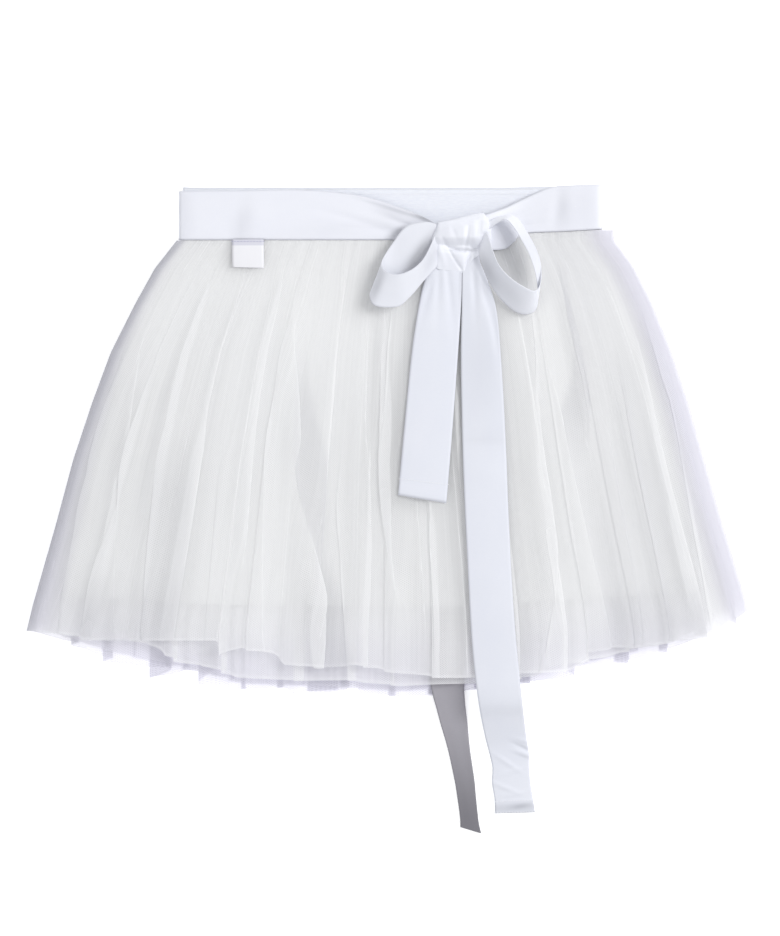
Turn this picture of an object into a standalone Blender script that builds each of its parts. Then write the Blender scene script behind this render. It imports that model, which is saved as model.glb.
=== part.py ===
"""A layered tulle skirt with a ribbon sash tied in a bow, laid flat on its back.

Sizes are in millimetres, and MM turns them into Blender's metres. +X is to the right and +Y
towards the waist as the skirt lies front up, and +Z is up. The origin is at the middle of the
skirt's outline, on the surface it lies on.
"""

import math
from collections import namedtuple

import bmesh
import bpy
import numpy as np

MM = 0.001

# Cloth and ribbon
CLOTH_THICKNESS = 1.0
BAND_THICKNESS = 1.5
SEAM_GAP = 0.3
REST_GAP = 0.7
REST_SAMPLES = 5

# Levels of the flat walls' middles above the surface
SASH_BACK_LEVEL = 0.5
SASH_FRONT_LEVEL = 8.6
BAND_BACK_LEVEL = 2.05
BAND_FRONT_LEVEL = 7.05
TIE_LEVEL = 4.4
FLOOR_LEVEL = 0.5

# Waistband
BAND_LEFT = -167.5
BAND_RIGHT = 172.5
BAND_TOP = 264.4
BAND_ABOVE_SASH = 0.5

# Waves of the front walls, and how finely walls are divided
GATHERS_PER_FOLD = 2
LOFT_EDGE_POWER = 4
POINTS_AT_EDGE = 2
BACK_STEP = 0.055
SASH_ROWS_BETWEEN = 1
LOOP_ROWS_BETWEEN = 2
TAIL_ROWS_BETWEEN = 1
SASH_SPANS = 2
LOOP_SPANS = 4
TAIL_SPANS = 2

SideEdge = namedtuple("SideEdge", "y left right")
SIDE_EDGES = [
    SideEdge(-101.0, -297.2, 301.0),
    SideEdge(-77.5, -291.5, 295.6),
    SideEdge(-57.8, -285.8, 289.9),
    SideEdge(-8.6, -271.8, 275.1),
    SideEdge(40.6, -258.7, 261.2),
    SideEdge(89.8, -242.3, 247.2),
    SideEdge(129.2, -227.6, 234.1),
    SideEdge(168.5, -207.9, 218.5),
    SideEdge(198.0, -191.5, 203.8),
    SideEdge(221.0, -173.4, 186.6),
]

# The seam between band and skirt: level on the left, then it rises smoothly to the right end
SEAM_Y = 221.0
SEAM_RISE_START = 50.0
SEAM_RISE_END = 174.0
SEAM_RISE = 8.6

# How the side of a tube turns from its back to its front: the distance in from its edge, and
# the share of its height
Turn = namedtuple("Turn", "inwards up")
SIDE_TURN = [
    Turn(3.0, 0.0),
    Turn(1.7, 0.06),
    Turn(0.6, 0.22),
    Turn(0.0, 0.5),
    Turn(0.6, 0.78),
    Turn(1.7, 0.94),
    Turn(3.0, 1.0),
]

# How far the front layers stand above their lowest level, from waist to hem
Loft = namedtuple("Loft", "down rise")
LOFT = [
    Loft(0.0, 3.0),
    Loft(0.05, 3.3),
    Loft(0.1, 4.2),
    Loft(0.2, 7.0),
    Loft(0.35, 11.0),
    Loft(0.6, 14.0),
    Loft(0.85, 13.0),
    Loft(1.0, 10.0),
]

# Share of the waist gathers in the wave of the cloth, from waist to hem
Gather = namedtuple("Gather", "down share")
GATHER_FADE = [
    Gather(0.0, 1.0),
    Gather(0.05, 0.8),
    Gather(0.12, 0.4),
    Gather(0.25, 0.1),
    Gather(0.4, 0.0),
]

# Hems: place across the skirt as a share from left to right, and height in the frame
Hem = namedtuple("Hem", "across y")
OUTER_FRONT_HEM = [
    Hem(0.0, -99.6),
    Hem(0.05, -102.1),
    Hem(0.10, -107.0),
    Hem(0.246, -107.0),
    Hem(0.256, -120.1),
    Hem(0.292, -112.8),
    Hem(0.337, -116.8),
    Hem(0.359, -126.7),
    Hem(0.407, -130.0),
    Hem(0.448, -126.7),
    Hem(0.517, -133.3),
    Hem(0.559, -137.4),
    Hem(0.607, -137.4),
    Hem(0.752, -131.6),
    Hem(0.779, -119.3),
    Hem(0.807, -112.8),
    Hem(0.848, -112.8),
    Hem(0.91, -106.2),
    Hem(0.957, -99.6),
    Hem(1.0, -84.0),
]
OUTER_BACK_HEM = [
    Hem(0.0, -99.6),
    Hem(0.062, -110.3),
    Hem(0.09, -118.5),
    Hem(0.117, -125.9),
    Hem(0.172, -130.0),
    Hem(0.186, -139.0),
    Hem(0.214, -132.4),
    Hem(0.244, -130.8),
    Hem(0.253, -143.1),
    Hem(0.283, -148.0),
    Hem(0.357, -146.4),
    Hem(0.366, -152.1),
    Hem(0.393, -148.0),
    Hem(0.428, -150.5),
    Hem(0.441, -148.0),
    Hem(0.45, -140.6),
    Hem(0.459, -151.3),
    Hem(0.517, -153.8),
    Hem(0.559, -152.9),
    Hem(0.607, -148.8),
    Hem(0.683, -142.3),
    Hem(0.746, -138.2),
    Hem(0.76, -129.1),
    Hem(0.821, -125.9),
    Hem(0.876, -117.7),
    Hem(0.931, -105.4),
    Hem(0.986, -89.8),
    Hem(1.0, -84.0),
]
UNDER_FRONT_HEM = [
    Hem(0.0, -98.8),
    Hem(0.07, -107.0),
    Hem(0.125, -105.0),
    Hem(0.175, -115.2),
    Hem(0.25, -130.8),
    Hem(0.285, -137.4),
    Hem(0.356, -140.6),
    Hem(0.448, -139.8),
    Hem(0.517, -144.7),
    Hem(0.607, -142.3),
    Hem(0.683, -138.8),
    Hem(0.785, -123.4),
    Hem(0.84, -115.2),
    Hem(0.91, -105.8),
    Hem(1.0, -82.0),
]
UNDER_BACK_HEM = [
    Hem(0.0, -97.5),
    Hem(0.1, -116.0),
    Hem(0.2, -129.0),
    Hem(0.3, -143.0),
    Hem(0.4, -145.0),
    Hem(0.517, -149.0),
    Hem(0.6, -145.5),
    Hem(0.7, -136.0),
    Hem(0.8, -123.0),
    Hem(0.9, -108.0),
    Hem(1.0, -82.0),
]
LINING_HEM = [
    Hem(0.0, -71.0),
    Hem(0.2, -77.5),
    Hem(0.4, -79.5),
    Hem(0.6, -80.0),
    Hem(0.8, -74.0),
    Hem(1.0, -68.0),
]

# Folds: crest across the skirt, its height as a share of the loft, and how far it leans
# right (+) or left (-) as a share of the distance to the next crest
Fold = namedtuple("Fold", "across height lean")
OUTER_FOLDS = [
    Fold(0.03, 0.8, -0.10),
    Fold(0.097, 1.0, -0.22),
    Fold(0.172, 0.9, 0.24),
    Fold(0.248, 0.75, 0.20),
    Fold(0.317, 1.0, -0.20),
    Fold(0.386, 0.85, 0.26),
    Fold(0.441, 0.7, 0.10),
    Fold(0.51, 1.0, -0.22),
    Fold(0.577, 0.8, -0.12),
    Fold(0.655, 1.0, 0.20),
    Fold(0.724, 0.85, 0.26),
    Fold(0.79, 1.0, -0.24),
    Fold(0.855, 0.8, -0.16),
    Fold(0.917, 0.95, 0.22),
    Fold(0.975, 0.8, 0.10),
]
UNDER_FOLDS = [
    Fold(0.07, 1.0, 0.12),
    Fold(0.21, 0.8, -0.16),
    Fold(0.345, 1.0, 0.18),
    Fold(0.475, 0.7, -0.10),
    Fold(0.615, 1.0, 0.16),
    Fold(0.75, 0.85, -0.18),
    Fold(0.88, 1.0, 0.12),
    Fold(0.96, 0.7, 0.0),
]
LINING_FOLDS = [
    Fold(0.05, 0.0, 0.0),
    Fold(0.35, 0.0, 0.0),
    Fold(0.65, 0.0, 0.0),
    Fold(0.95, 0.0, 0.0),
]

# How far an inner layer's sides lie inside the outer tulle's
Inset = namedtuple("Inset", "y left right")
NO_INSET = [Inset(-110.0, 0.0, 0.0), Inset(230.0, 0.0, 0.0)]
UNDER_INSET = [Inset(-110.0, 7.0, 7.0), Inset(90.0, 5.0, 5.0), Inset(221.0, 3.0, 3.0)]
LINING_INSET = [
    Inset(-77.5, 21.0, 35.0),
    Inset(0.0, 15.0, 29.0),
    Inset(90.0, 11.0, 21.0),
    Inset(200.0, 7.0, 8.0),
    Inset(221.0, 6.0, 6.0),
]

# One layer: the levels of its back and front, the shares of the loft where its front waves
# start and end, its hems, folds and side insets, and where its rings lie from waist to hem
Layer = namedtuple(
    "Layer",
    "name back_level front_level low_share high_share front_hem back_hem folds inset rings points",
)
TULLE_OUTER = Layer(
    name="tulle_outer",
    back_level=0.5,
    front_level=9.0,
    low_share=0.3,
    high_share=1.0,
    front_hem=OUTER_FRONT_HEM,
    back_hem=OUTER_BACK_HEM,
    folds=OUTER_FOLDS,
    inset=NO_INSET,
    rings=[0.0, 0.04, 0.1, 0.2, 0.33, 0.48, 0.63, 0.77, 0.89, 1.0],
    points=8,
)
TULLE_UNDER = Layer(
    name="tulle_under",
    back_level=1.8,
    front_level=7.2,
    low_share=0.0,
    high_share=0.3,
    front_hem=UNDER_FRONT_HEM,
    back_hem=UNDER_BACK_HEM,
    folds=UNDER_FOLDS,
    inset=UNDER_INSET,
    rings=[0.0, 0.05, 0.2, 0.4, 0.6, 0.8, 1.0],
    points=6,
)
LINING = Layer(
    name="lining",
    back_level=3.1,
    front_level=5.7,
    low_share=0.0,
    high_share=0.0,
    front_hem=LINING_HEM,
    back_hem=LINING_HEM,
    folds=LINING_FOLDS,
    inset=LINING_INSET,
    rings=[0.0, 0.08, 0.25, 0.5, 0.75, 1.0],
    points=4,
)

# Ribbon stretches: a row for each section along them, with the place and level of the ribbon's
# two edges, a and b
Section = namedtuple("Section", "ax ay az bx by bz")

# Round the waist, from the knot's left side by the back to its right side
SASH_FRONT_LEFT = [
    Section(39.9, 234.0, 14.4, 39.9, 221.6, 14.4),
    Section(30.0, 239.2, 12.6, 30.0, 221.3, 12.6),
    Section(18.5, 244.0, 10.4, 18.5, 221.3, 10.2),
    Section(-6.2, 253.0, SASH_FRONT_LEVEL, -6.2, 221.3, SASH_FRONT_LEVEL),
    Section(-30.8, 258.7, SASH_FRONT_LEVEL, -30.8, 221.3, SASH_FRONT_LEVEL),
    Section(-71.8, 262.0, SASH_FRONT_LEVEL, -71.8, 221.3, SASH_FRONT_LEVEL),
    Section(-120.0, 261.4, SASH_FRONT_LEVEL, -120.0, 221.3, SASH_FRONT_LEVEL),
    Section(-168.5, 261.0, SASH_FRONT_LEVEL, -168.5, 221.3, SASH_FRONT_LEVEL),
]
SASH_BACK = [
    Section(-170.4, 261.0, 7.4, -170.4, 221.3, 7.4),
    Section(-171.2, 261.0, 4.6, -171.2, 221.3, 4.6),
    Section(-170.4, 261.0, 1.6, -170.4, 221.3, 1.6),
    Section(-168.5, 261.0, SASH_BACK_LEVEL, -168.5, 221.3, SASH_BACK_LEVEL),
    Section(50.0, 263.5, SASH_BACK_LEVEL, 50.0, 221.3, SASH_BACK_LEVEL),
    Section(112.0, 265.0, SASH_BACK_LEVEL, 112.0, 225.0, SASH_BACK_LEVEL),
    Section(173.5, 266.3, SASH_BACK_LEVEL, 173.5, 229.9, SASH_BACK_LEVEL),
    Section(175.4, 266.3, 1.6, 175.4, 229.9, 1.6),
    Section(176.2, 266.3, 4.6, 176.2, 229.9, 4.6),
    Section(175.4, 266.3, 7.4, 175.4, 229.9, 7.4),
]
SASH_FRONT_RIGHT = [
    Section(173.5, 266.3, SASH_FRONT_LEVEL, 173.5, 229.9, SASH_FRONT_LEVEL),
    Section(141.5, 265.4, SASH_FRONT_LEVEL, 141.5, 228.0, SASH_FRONT_LEVEL),
    Section(129.2, 262.6, SASH_FRONT_LEVEL, 129.2, 227.6, SASH_FRONT_LEVEL),
    Section(112.8, 255.4, 9.2, 112.8, 226.8, 9.0),
    Section(96.4, 247.2, 11.6, 96.4, 225.3, 11.4),
    Section(84.0, 242.4, 14.6, 84.0, 222.4, 14.4),
]
LOOP_LEFT = [
    Section(39.9, 232.5, 18.4, 39.9, 218.5, 18.4),
    Section(29.9, 234.9, 18.2, 29.9, 203.0, 18.2),
    Section(15.2, 232.5, 18.2, 15.2, 185.0, 18.2),
    Section(4.5, 222.6, 18.7, 1.2, 174.3, 18.4),
    Section(-1.6, 209.5, 22.0, -9.4, 171.0, 21.4),
    Section(1.2, 198.9, 27.0, -5.3, 167.7, 24.6),
    Section(9.4, 195.6, 29.0, 11.9, 169.3, 25.6),
    Section(20.1, 203.0, 28.0, 23.4, 180.0, 25.4),
    Section(29.9, 214.4, 25.8, 33.2, 193.1, 24.2),
    Section(39.9, 224.2, 23.0, 39.9, 205.0, 22.8),
]
LOOP_RIGHT = [
    Section(84.0, 222.6, 24.0, 83.8, 203.0, 18.8),
    Section(88.2, 212.0, 27.0, 82.6, 194.0, 18.4),
    Section(93.9, 198.0, 30.0, 86.5, 180.0, 18.4),
    Section(102.1, 187.4, 32.0, 95.5, 169.3, 18.4),
    Section(112.8, 180.8, 33.0, 107.0, 161.2, 18.4),
    Section(121.0, 182.4, 33.0, 116.9, 162.8, 18.4),
    Section(125.1, 191.5, 33.0, 121.0, 174.3, 18.4),
    Section(121.8, 204.6, 33.0, 113.6, 189.0, 18.8),
    Section(115.2, 216.9, 32.0, 103.7, 203.8, 19.2),
    Section(108.7, 228.4, 30.0, 96.4, 215.3, 19.4),
    Section(101.3, 237.4, 28.0, 90.6, 223.5, 19.8),
    Section(92.3, 238.2, 26.0, 85.7, 227.6, 20.2),
    Section(84.2, 235.0, 24.0, 84.0, 227.2, 20.6),
]

# Ribbon ends that lie on the cloth: the two edges in plan, and a level where the row states
# one; other rows rest on the folds' crests
Lying = namedtuple("Lying", "ax ay bx by level")
TAIL_SHORT = [
    Lying(37.3, 212.8, 57.0, 212.8, None),
    Lying(36.5, 203.0, 57.8, 203.0, None),
    Lying(29.9, 185.7, 59.5, 185.7, None),
    Lying(25.0, 171.8, 60.3, 171.8, None),
    Lying(20.1, 130.8, 57.8, 130.8, None),
    Lying(13.5, 65.2, 52.9, 65.2, None),
    Lying(8.6, 11.9, 48.0, 5.3, None),
]
TAIL_LONG = [
    Lying(62.7, 212.8, 75.9, 212.8, None),
    Lying(61.9, 203.0, 77.5, 203.0, None),
    Lying(61.1, 188.2, 84.1, 188.2, None),
    Lying(60.3, 163.6, 92.3, 163.6, None),
    Lying(59.5, 122.6, 93.9, 122.6, None),
    Lying(61.1, 57.0, 96.4, 57.0, None),
    Lying(65.2, -41.4, 100.5, -41.4, None),
    Lying(70.1, -123.4, 106.2, -123.4, None),
    Lying(72.6, -146.0, 108.7, -146.0, None),
    Lying(75.5, -158.0, 111.0, -156.5, 15.0),
    Lying(79.5, -172.6, 113.5, -170.0, 4.5),
    Lying(83.0, -189.0, 115.8, -186.0, FLOOR_LEVEL),
    Lying(85.7, -223.4, 117.7, -218.5, FLOOR_LEVEL),
    Lying(88.2, -249.7, 121.8, -248.0, FLOOR_LEVEL),
]
TIE_UNDER = [
    Lying(34.0, 216.0, 61.0, 216.0, TIE_LEVEL),
    Lying(34.8, 40.0, 61.9, 40.0, TIE_LEVEL),
    Lying(35.7, -142.3, 62.7, -142.3, TIE_LEVEL),
    Lying(36.6, -156.5, 63.8, -156.5, TIE_LEVEL),
    Lying(38.6, -169.5, 65.0, -169.5, FLOOR_LEVEL),
    Lying(48.0, -197.2, 67.7, -197.2, FLOOR_LEVEL),
    Lying(53.7, -221.8, 70.9, -221.8, FLOOR_LEVEL),
    Lying(58.6, -261.2, 76.7, -266.3, FLOOR_LEVEL),
]
LABEL = [
    Lying(-127.5, 220.4, -101.5, 220.4, None),
    Lying(-127.4, 209.0, -101.2, 209.0, None),
    Lying(-127.0, 198.4, -101.0, 197.6, None),
]

# The knot: a row for each section from its left side to its right
KNOT_UNDERSIDE_BEVEL = 5.0
KNOT_CROWN_BEVEL = 8.0
KNOT_CROWN_DROP = 1.0
KnotSection = namedtuple("KnotSection", "x y_low y_high z_low z_high")
KNOT = [
    KnotSection(39.6, 204.0, 236.0, 14.2, 25.0),
    KnotSection(50.0, 199.0, 239.0, 15.6, 28.0),
    KnotSection(61.5, 198.0, 242.0, 15.6, 29.5),
    KnotSection(73.0, 201.0, 245.0, 15.6, 28.0),
    KnotSection(84.6, 206.0, 243.0, 14.2, 25.0),
]

Finish = namedtuple("Finish", "name colour roughness")
TULLE_FINISH = Finish("tulle", (0.80, 0.79, 0.80), 0.75)
LINING_FINISH = Finish("lining", (0.82, 0.81, 0.79), 0.6)
BAND_FINISH = Finish("waistband", (0.84, 0.85, 0.89), 0.5)
RIBBON_FINISH = Finish("ribbon", (0.80, 0.82, 0.87), 0.4)
TIE_FINISH = Finish("grey_ribbon", (0.32, 0.31, 0.34), 0.45)
LABEL_FINISH = Finish("label", (0.85, 0.85, 0.86), 0.5)


def read(table, key, column, place):
    """The column's value where the key column is at place, between the rows on either side."""
    keys = [getattr(row, key) for row in table]
    values = [getattr(row, column) for row in table]
    return float(np.interp(place, keys, values))


def loft_at(across, down):
    """How far the front layers may rise at a place on the skirt; nothing at the side edges."""
    side = 1 - abs(2 * across - 1) ** LOFT_EDGE_POWER
    return side * read(LOFT, "down", "rise", down)


def sides_at(y, inset):
    """The left and right edge of a layer's wall at a height in the frame."""
    left = read(SIDE_EDGES, "y", "left", y) + read(inset, "y", "left", y)
    right = read(SIDE_EDGES, "y", "right", y) - read(inset, "y", "right", y)
    return left + CLOTH_THICKNESS / 2, right - CLOTH_THICKNESS / 2


def seam_at(x):
    """The height in the frame of the waist seam."""
    share = min(max((x - SEAM_RISE_START) / (SEAM_RISE_END - SEAM_RISE_START), 0.0), 1.0)
    return SEAM_Y + SEAM_RISE * share**2


def place_at(across, down, hem, inset):
    """The place in plan of a point on a layer, given shares across and down it."""
    margin = SIDE_TURN[0].inwards
    left, right = sides_at(SEAM_Y, inset)
    top = seam_at(left + margin + across * (right - left - 2 * margin)) - SEAM_GAP
    y = top + down * (read(hem, "across", "y", across) - top)
    left, right = sides_at(y, inset)
    return left + margin + across * (right - left - 2 * margin), y


def wave_at(here, after, share):
    """The fold's rise, the gathers' rise and the lean, between one crest and the next."""
    height = here.height + share * (after.height - here.height)
    lean = here.lean + share * (after.lean - here.lean)
    if here.across == 0.0:
        return height, share, lean * share
    if after.across == 1.0:
        return height, 1 - share, lean * (1 - share)
    turn = 2 * math.pi * share
    fold_rise = height * (0.5 + 0.5 * math.cos(turn))
    gather_rise = 0.5 + 0.5 * math.cos(GATHERS_PER_FOLD * turn)
    return fold_rise, gather_rise, lean * math.cos(turn)


def front_points(layer, down):
    """The front wall's points at one ring, from left to right, waved by folds and gathers."""
    gathers = read(GATHER_FADE, "down", "share", down)
    folds = [layer.folds[0]._replace(across=0.0, height=0.0), *layer.folds]
    folds.append(layer.folds[-1]._replace(across=1.0, height=0.0))
    points = []
    for here, after in zip(folds, folds[1:]):
        at_edge = here.across == 0.0 or after.across == 1.0
        count = POINTS_AT_EDGE if at_edge else layer.points
        for step in range(count):
            share = step / count
            across = here.across + share * (after.across - here.across)
            x, y = place_at(across, down, layer.front_hem, layer.inset)
            left, right = sides_at(y, layer.inset)
            fold_rise, gather_rise, lean = wave_at(here, after, share)
            x += (1 - gathers) * lean * (after.across - here.across) * (right - left)
            rise = gathers * gather_rise + (1 - gathers) * fold_rise
            span = layer.low_share + (layer.high_share - layer.low_share) * rise
            loft = loft_at((x - left) / (right - left), down)
            points.append((x, y, layer.front_level + span * loft))
    return points


def back_points(layer, down):
    """The back wall's points at one ring, from right to left, flat."""
    stations = []
    for here, after in zip(layer.back_hem, layer.back_hem[1:]):
        count = math.ceil((after.across - here.across) / BACK_STEP)
        stations += [here.across + (after.across - here.across) * s / count for s in range(count)]
    points = []
    for across in reversed(stations[1:]):
        x, y = place_at(across, down, layer.back_hem, layer.inset)
        points.append((x, y, layer.back_level))
    return points


def turn_points(layer, down, across, side):
    """The side of a ring, from its back to its front; side is -1 for left and 1 for right."""
    x, y = place_at(across, down, layer.front_hem, layer.inset)
    edge = x + side * SIDE_TURN[0].inwards
    height = layer.front_level - layer.back_level
    return [
        (edge - side * turn.inwards, y, layer.back_level + turn.up * height) for turn in SIDE_TURN
    ]


def ring(layer, down):
    """A closed ring of a layer's wall: left turn, front, right turn and back."""
    left = turn_points(layer, down, 0.0, -1)
    right = turn_points(layer, down, 1.0, 1)
    return [*left[:-1], *front_points(layer, down), *reversed(right), *back_points(layer, down)]


def cloth_top(x, y):
    """The level of the outer tulle's crests over a place in plan."""
    left, right = sides_at(y, NO_INSET)
    across = min(max((x - left) / (right - left), 0.0), 1.0)
    seam = seam_at(x) - SEAM_GAP
    hem = read(OUTER_FRONT_HEM, "across", "y", across)
    down = min(max((seam - y) / (seam - hem), 0.0), 1.0)
    return TULLE_OUTER.front_level + loft_at(across, down) + CLOTH_THICKNESS / 2


def smooth_rows(sections, between):
    """Rows of numbers through the sections, on a smooth curve, with extra rows between them."""
    rows = [np.array(section, float) for section in sections]
    result = []
    for index in range(len(rows) - 1):
        before = rows[max(index - 1, 0)]
        start, end = rows[index], rows[index + 1]
        after = rows[min(index + 2, len(rows) - 1)]
        for step in range(between + 1):
            t = step / (between + 1)
            result.append(
                0.5
                * (
                    2 * start
                    + (end - before) * t
                    + (2 * before - 5 * start + 4 * end - after) * t**2
                    + (3 * start - before - 3 * end + after) * t**3
                )
            )
    result.append(rows[-1])
    return result


def ribbon_rows(sections, between, spans):
    """Points of a ribbon: rows along it, each with points from edge a to edge b."""
    rows = []
    for ax, ay, az, bx, by, bz in smooth_rows(sections, between):
        start = np.array((ax, ay, max(az, FLOOR_LEVEL)))
        end = np.array((bx, by, max(bz, FLOOR_LEVEL)))
        rows.append([start + (end - start) * step / spans for step in range(spans + 1)])
    return rows


def lying_rows(table, between, spans):
    """Points of a ribbon end that rests on the cloth's crests, or at the level a row states."""
    sections = []
    for row in table:
        level = row.level
        if level is None:
            xs = np.linspace(row.ax, row.bx, REST_SAMPLES)
            ys = np.linspace(row.ay, row.by, REST_SAMPLES)
            level = max(cloth_top(x, y) for x, y in zip(xs, ys))
            level += REST_GAP + CLOTH_THICKNESS / 2
        sections.append(Section(row.ax, row.ay, level, row.bx, row.by, level))
    return ribbon_rows(sections, between, spans)


def material_of(finish):
    """A Principled material with the finish's colour and roughness."""
    material = bpy.data.materials.get(finish.name)
    if material is None:
        material = bpy.data.materials.new(finish.name)
        material.use_nodes = True
        shader = material.node_tree.nodes["Principled BSDF"]
        shader.inputs["Base Color"].default_value = (*finish.colour, 1.0)
        shader.inputs["Roughness"].default_value = finish.roughness
        shader.inputs["Metallic"].default_value = 0.0
    return material


def add_object(name, mesh, finish, collection):
    """A smooth-shaded object of the mesh in the skirt's collection."""
    mesh.materials.append(material_of(finish))
    mesh.shade_smooth()
    obj = bpy.data.objects.new(name, mesh)
    collection.objects.link(obj)
    return obj


def sheet_mesh(name, rows, closed):
    """A mesh of quads between rows of points; closed joins the ends of each row."""
    shape = bmesh.new()
    grid = [[shape.verts.new([value * MM for value in point]) for point in row] for row in rows]
    width = len(grid[0])
    spans = width if closed else width - 1
    for upper, lower in zip(grid, grid[1:]):
        for index in range(spans):
            after = (index + 1) % width
            shape.faces.new((upper[index], lower[index], lower[after], upper[after]))
    mesh = bpy.data.meshes.new(name)
    shape.to_mesh(mesh)
    shape.free()
    return mesh


def add_wall(name, rows, closed, thickness, finish, collection):
    """A cloth wall: an open sheet given its thickness to both sides."""
    obj = add_object(name, sheet_mesh(name, rows, closed), finish, collection)
    wall = obj.modifiers.new("thickness", "SOLIDIFY")
    wall.thickness = thickness * MM
    wall.offset = 0.0
    return obj


def add_layer(layer, finish, collection):
    """A tube of cloth that hangs from the waist seam, flattened as it lies."""
    rows = [ring(layer, down) for down in layer.rings]
    add_wall(layer.name, rows, True, CLOTH_THICKNESS, finish, collection)


def band_ring(share):
    """A ring of the waistband at a share of its height; the front dips behind the bow."""
    sections = [*reversed(SASH_FRONT_LEFT), *reversed(SASH_FRONT_RIGHT)]
    front_x = [section.ax for section in sections]
    front_top = [section.ay + BAND_ABOVE_SASH for section in sections]
    height = BAND_FRONT_LEVEL - BAND_BACK_LEVEL
    points = []
    for edge, side in ((BAND_LEFT, -1), (BAND_RIGHT, 1)):
        y = seam_at(edge) + share * (BAND_TOP - seam_at(edge))
        turns = [
            (edge - side * turn.inwards / 2, y, BAND_BACK_LEVEL + turn.up * height)
            for turn in SIDE_TURN
        ]
        on_front = edge == BAND_LEFT
        points += turns if on_front else reversed(turns)
        for x in front_x[1:-1] if on_front else reversed(front_x[1:-1]):
            low = seam_at(x)
            high = min(float(np.interp(x, front_x, front_top)), BAND_TOP) if on_front else BAND_TOP
            level = BAND_FRONT_LEVEL if on_front else BAND_BACK_LEVEL
            points.append((x, low + share * (high - low), level))
    return points


def add_knot(collection):
    """The wrapped knot: a rounded form through its sections, closed at both ends."""
    shape = bmesh.new()
    rings = []
    for row in KNOT:
        y_middle = (row.y_low + row.y_high) / 2
        z_middle = (row.z_low + row.z_high) / 2
        corners = (
            (row.y_low, z_middle),
            (row.y_low + KNOT_UNDERSIDE_BEVEL, row.z_low),
            (y_middle, row.z_low),
            (row.y_high - KNOT_UNDERSIDE_BEVEL, row.z_low),
            (row.y_high, z_middle),
            (row.y_high - KNOT_CROWN_BEVEL, row.z_high - KNOT_CROWN_DROP),
            (y_middle, row.z_high),
            (row.y_low + KNOT_CROWN_BEVEL, row.z_high - KNOT_CROWN_DROP),
        )
        rings.append([shape.verts.new((row.x * MM, y * MM, z * MM)) for y, z in corners])
    for left, right in zip(rings, rings[1:]):
        for index in range(len(left)):
            after = (index + 1) % len(left)
            shape.faces.new((left[index], left[after], right[after], right[index]))
    shape.faces.new(rings[0])
    shape.faces.new(rings[-1])
    bmesh.ops.recalc_face_normals(shape, faces=shape.faces)
    mesh = bpy.data.meshes.new("knot")
    shape.to_mesh(mesh)
    shape.free()
    obj = add_object("knot", mesh, RIBBON_FINISH, collection)
    rounding = obj.modifiers.new("rounding", "SUBSURF")
    rounding.levels = 1
    rounding.render_levels = 1


def main():
    for obj in list(bpy.data.objects):
        bpy.data.objects.remove(obj, do_unlink=True)
    skirt = bpy.data.collections.new("layered_skirt")
    bpy.context.scene.collection.children.link(skirt)

    add_layer(TULLE_OUTER, TULLE_FINISH, skirt)
    add_layer(TULLE_UNDER, TULLE_FINISH, skirt)
    add_layer(LINING, LINING_FINISH, skirt)

    band = [band_ring(share) for share in (0.0, 0.5, 1.0)]
    add_wall("waistband", band, True, BAND_THICKNESS, BAND_FINISH, skirt)

    sash = [
        *smooth_rows(SASH_FRONT_LEFT, SASH_ROWS_BETWEEN),
        *(np.array(section, float) for section in SASH_BACK),
        *smooth_rows(SASH_FRONT_RIGHT, SASH_ROWS_BETWEEN),
    ]
    rows = ribbon_rows(sash, 0, SASH_SPANS)
    add_wall("sash", rows, False, CLOTH_THICKNESS, RIBBON_FINISH, skirt)
    for name, table in (("loop_left", LOOP_LEFT), ("loop_right", LOOP_RIGHT)):
        rows = ribbon_rows(table, LOOP_ROWS_BETWEEN, LOOP_SPANS)
        add_wall(name, rows, False, CLOTH_THICKNESS, RIBBON_FINISH, skirt)
    for name, table, finish in (
        ("tail_short", TAIL_SHORT, RIBBON_FINISH),
        ("tail_long", TAIL_LONG, RIBBON_FINISH),
        ("tie_under", TIE_UNDER, TIE_FINISH),
        ("label", LABEL, LABEL_FINISH),
    ):
        rows = lying_rows(table, TAIL_ROWS_BETWEEN, TAIL_SPANS)
        add_wall(name, rows, False, CLOTH_THICKNESS, finish, skirt)
    add_knot(skirt)


main()
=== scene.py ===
"""The looks of a layered tulle skirt with a ribbon sash, laid flat on its back.

Tables are in millimetres, and MM turns them into metres. +X is to the right and +Y towards the
waist as the skirt lies front up, and +Z is up from the surface.
"""

import math
from collections import namedtuple

import bmesh
import bpy
import numpy as np
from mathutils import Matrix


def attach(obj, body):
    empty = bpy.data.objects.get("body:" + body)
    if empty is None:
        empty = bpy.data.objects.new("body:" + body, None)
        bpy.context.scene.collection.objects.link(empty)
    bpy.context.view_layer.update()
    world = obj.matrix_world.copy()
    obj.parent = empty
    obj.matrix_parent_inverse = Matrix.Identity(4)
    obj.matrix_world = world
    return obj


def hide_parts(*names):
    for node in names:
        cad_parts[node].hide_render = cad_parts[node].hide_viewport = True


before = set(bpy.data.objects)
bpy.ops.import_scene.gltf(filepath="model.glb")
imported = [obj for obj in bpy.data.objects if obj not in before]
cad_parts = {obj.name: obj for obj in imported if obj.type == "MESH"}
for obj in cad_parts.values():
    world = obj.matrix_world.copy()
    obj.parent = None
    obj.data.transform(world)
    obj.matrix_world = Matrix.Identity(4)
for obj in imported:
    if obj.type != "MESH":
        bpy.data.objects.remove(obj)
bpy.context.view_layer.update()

MM = 0.001


def rows_of(kind, rows):
    """A table's rows, with their columns named."""
    return [kind(*row) for row in rows]


# The camera looks straight down on the middle of the photo's frame
VIEW_CENTRE_X = 2.05
VIEW_CENTRE_Y = 34.03
VIEW_HEIGHT = 767.5
VIEW_LEVEL = 8.0
LENS = 135.0
SENSOR = 36.0

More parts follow.
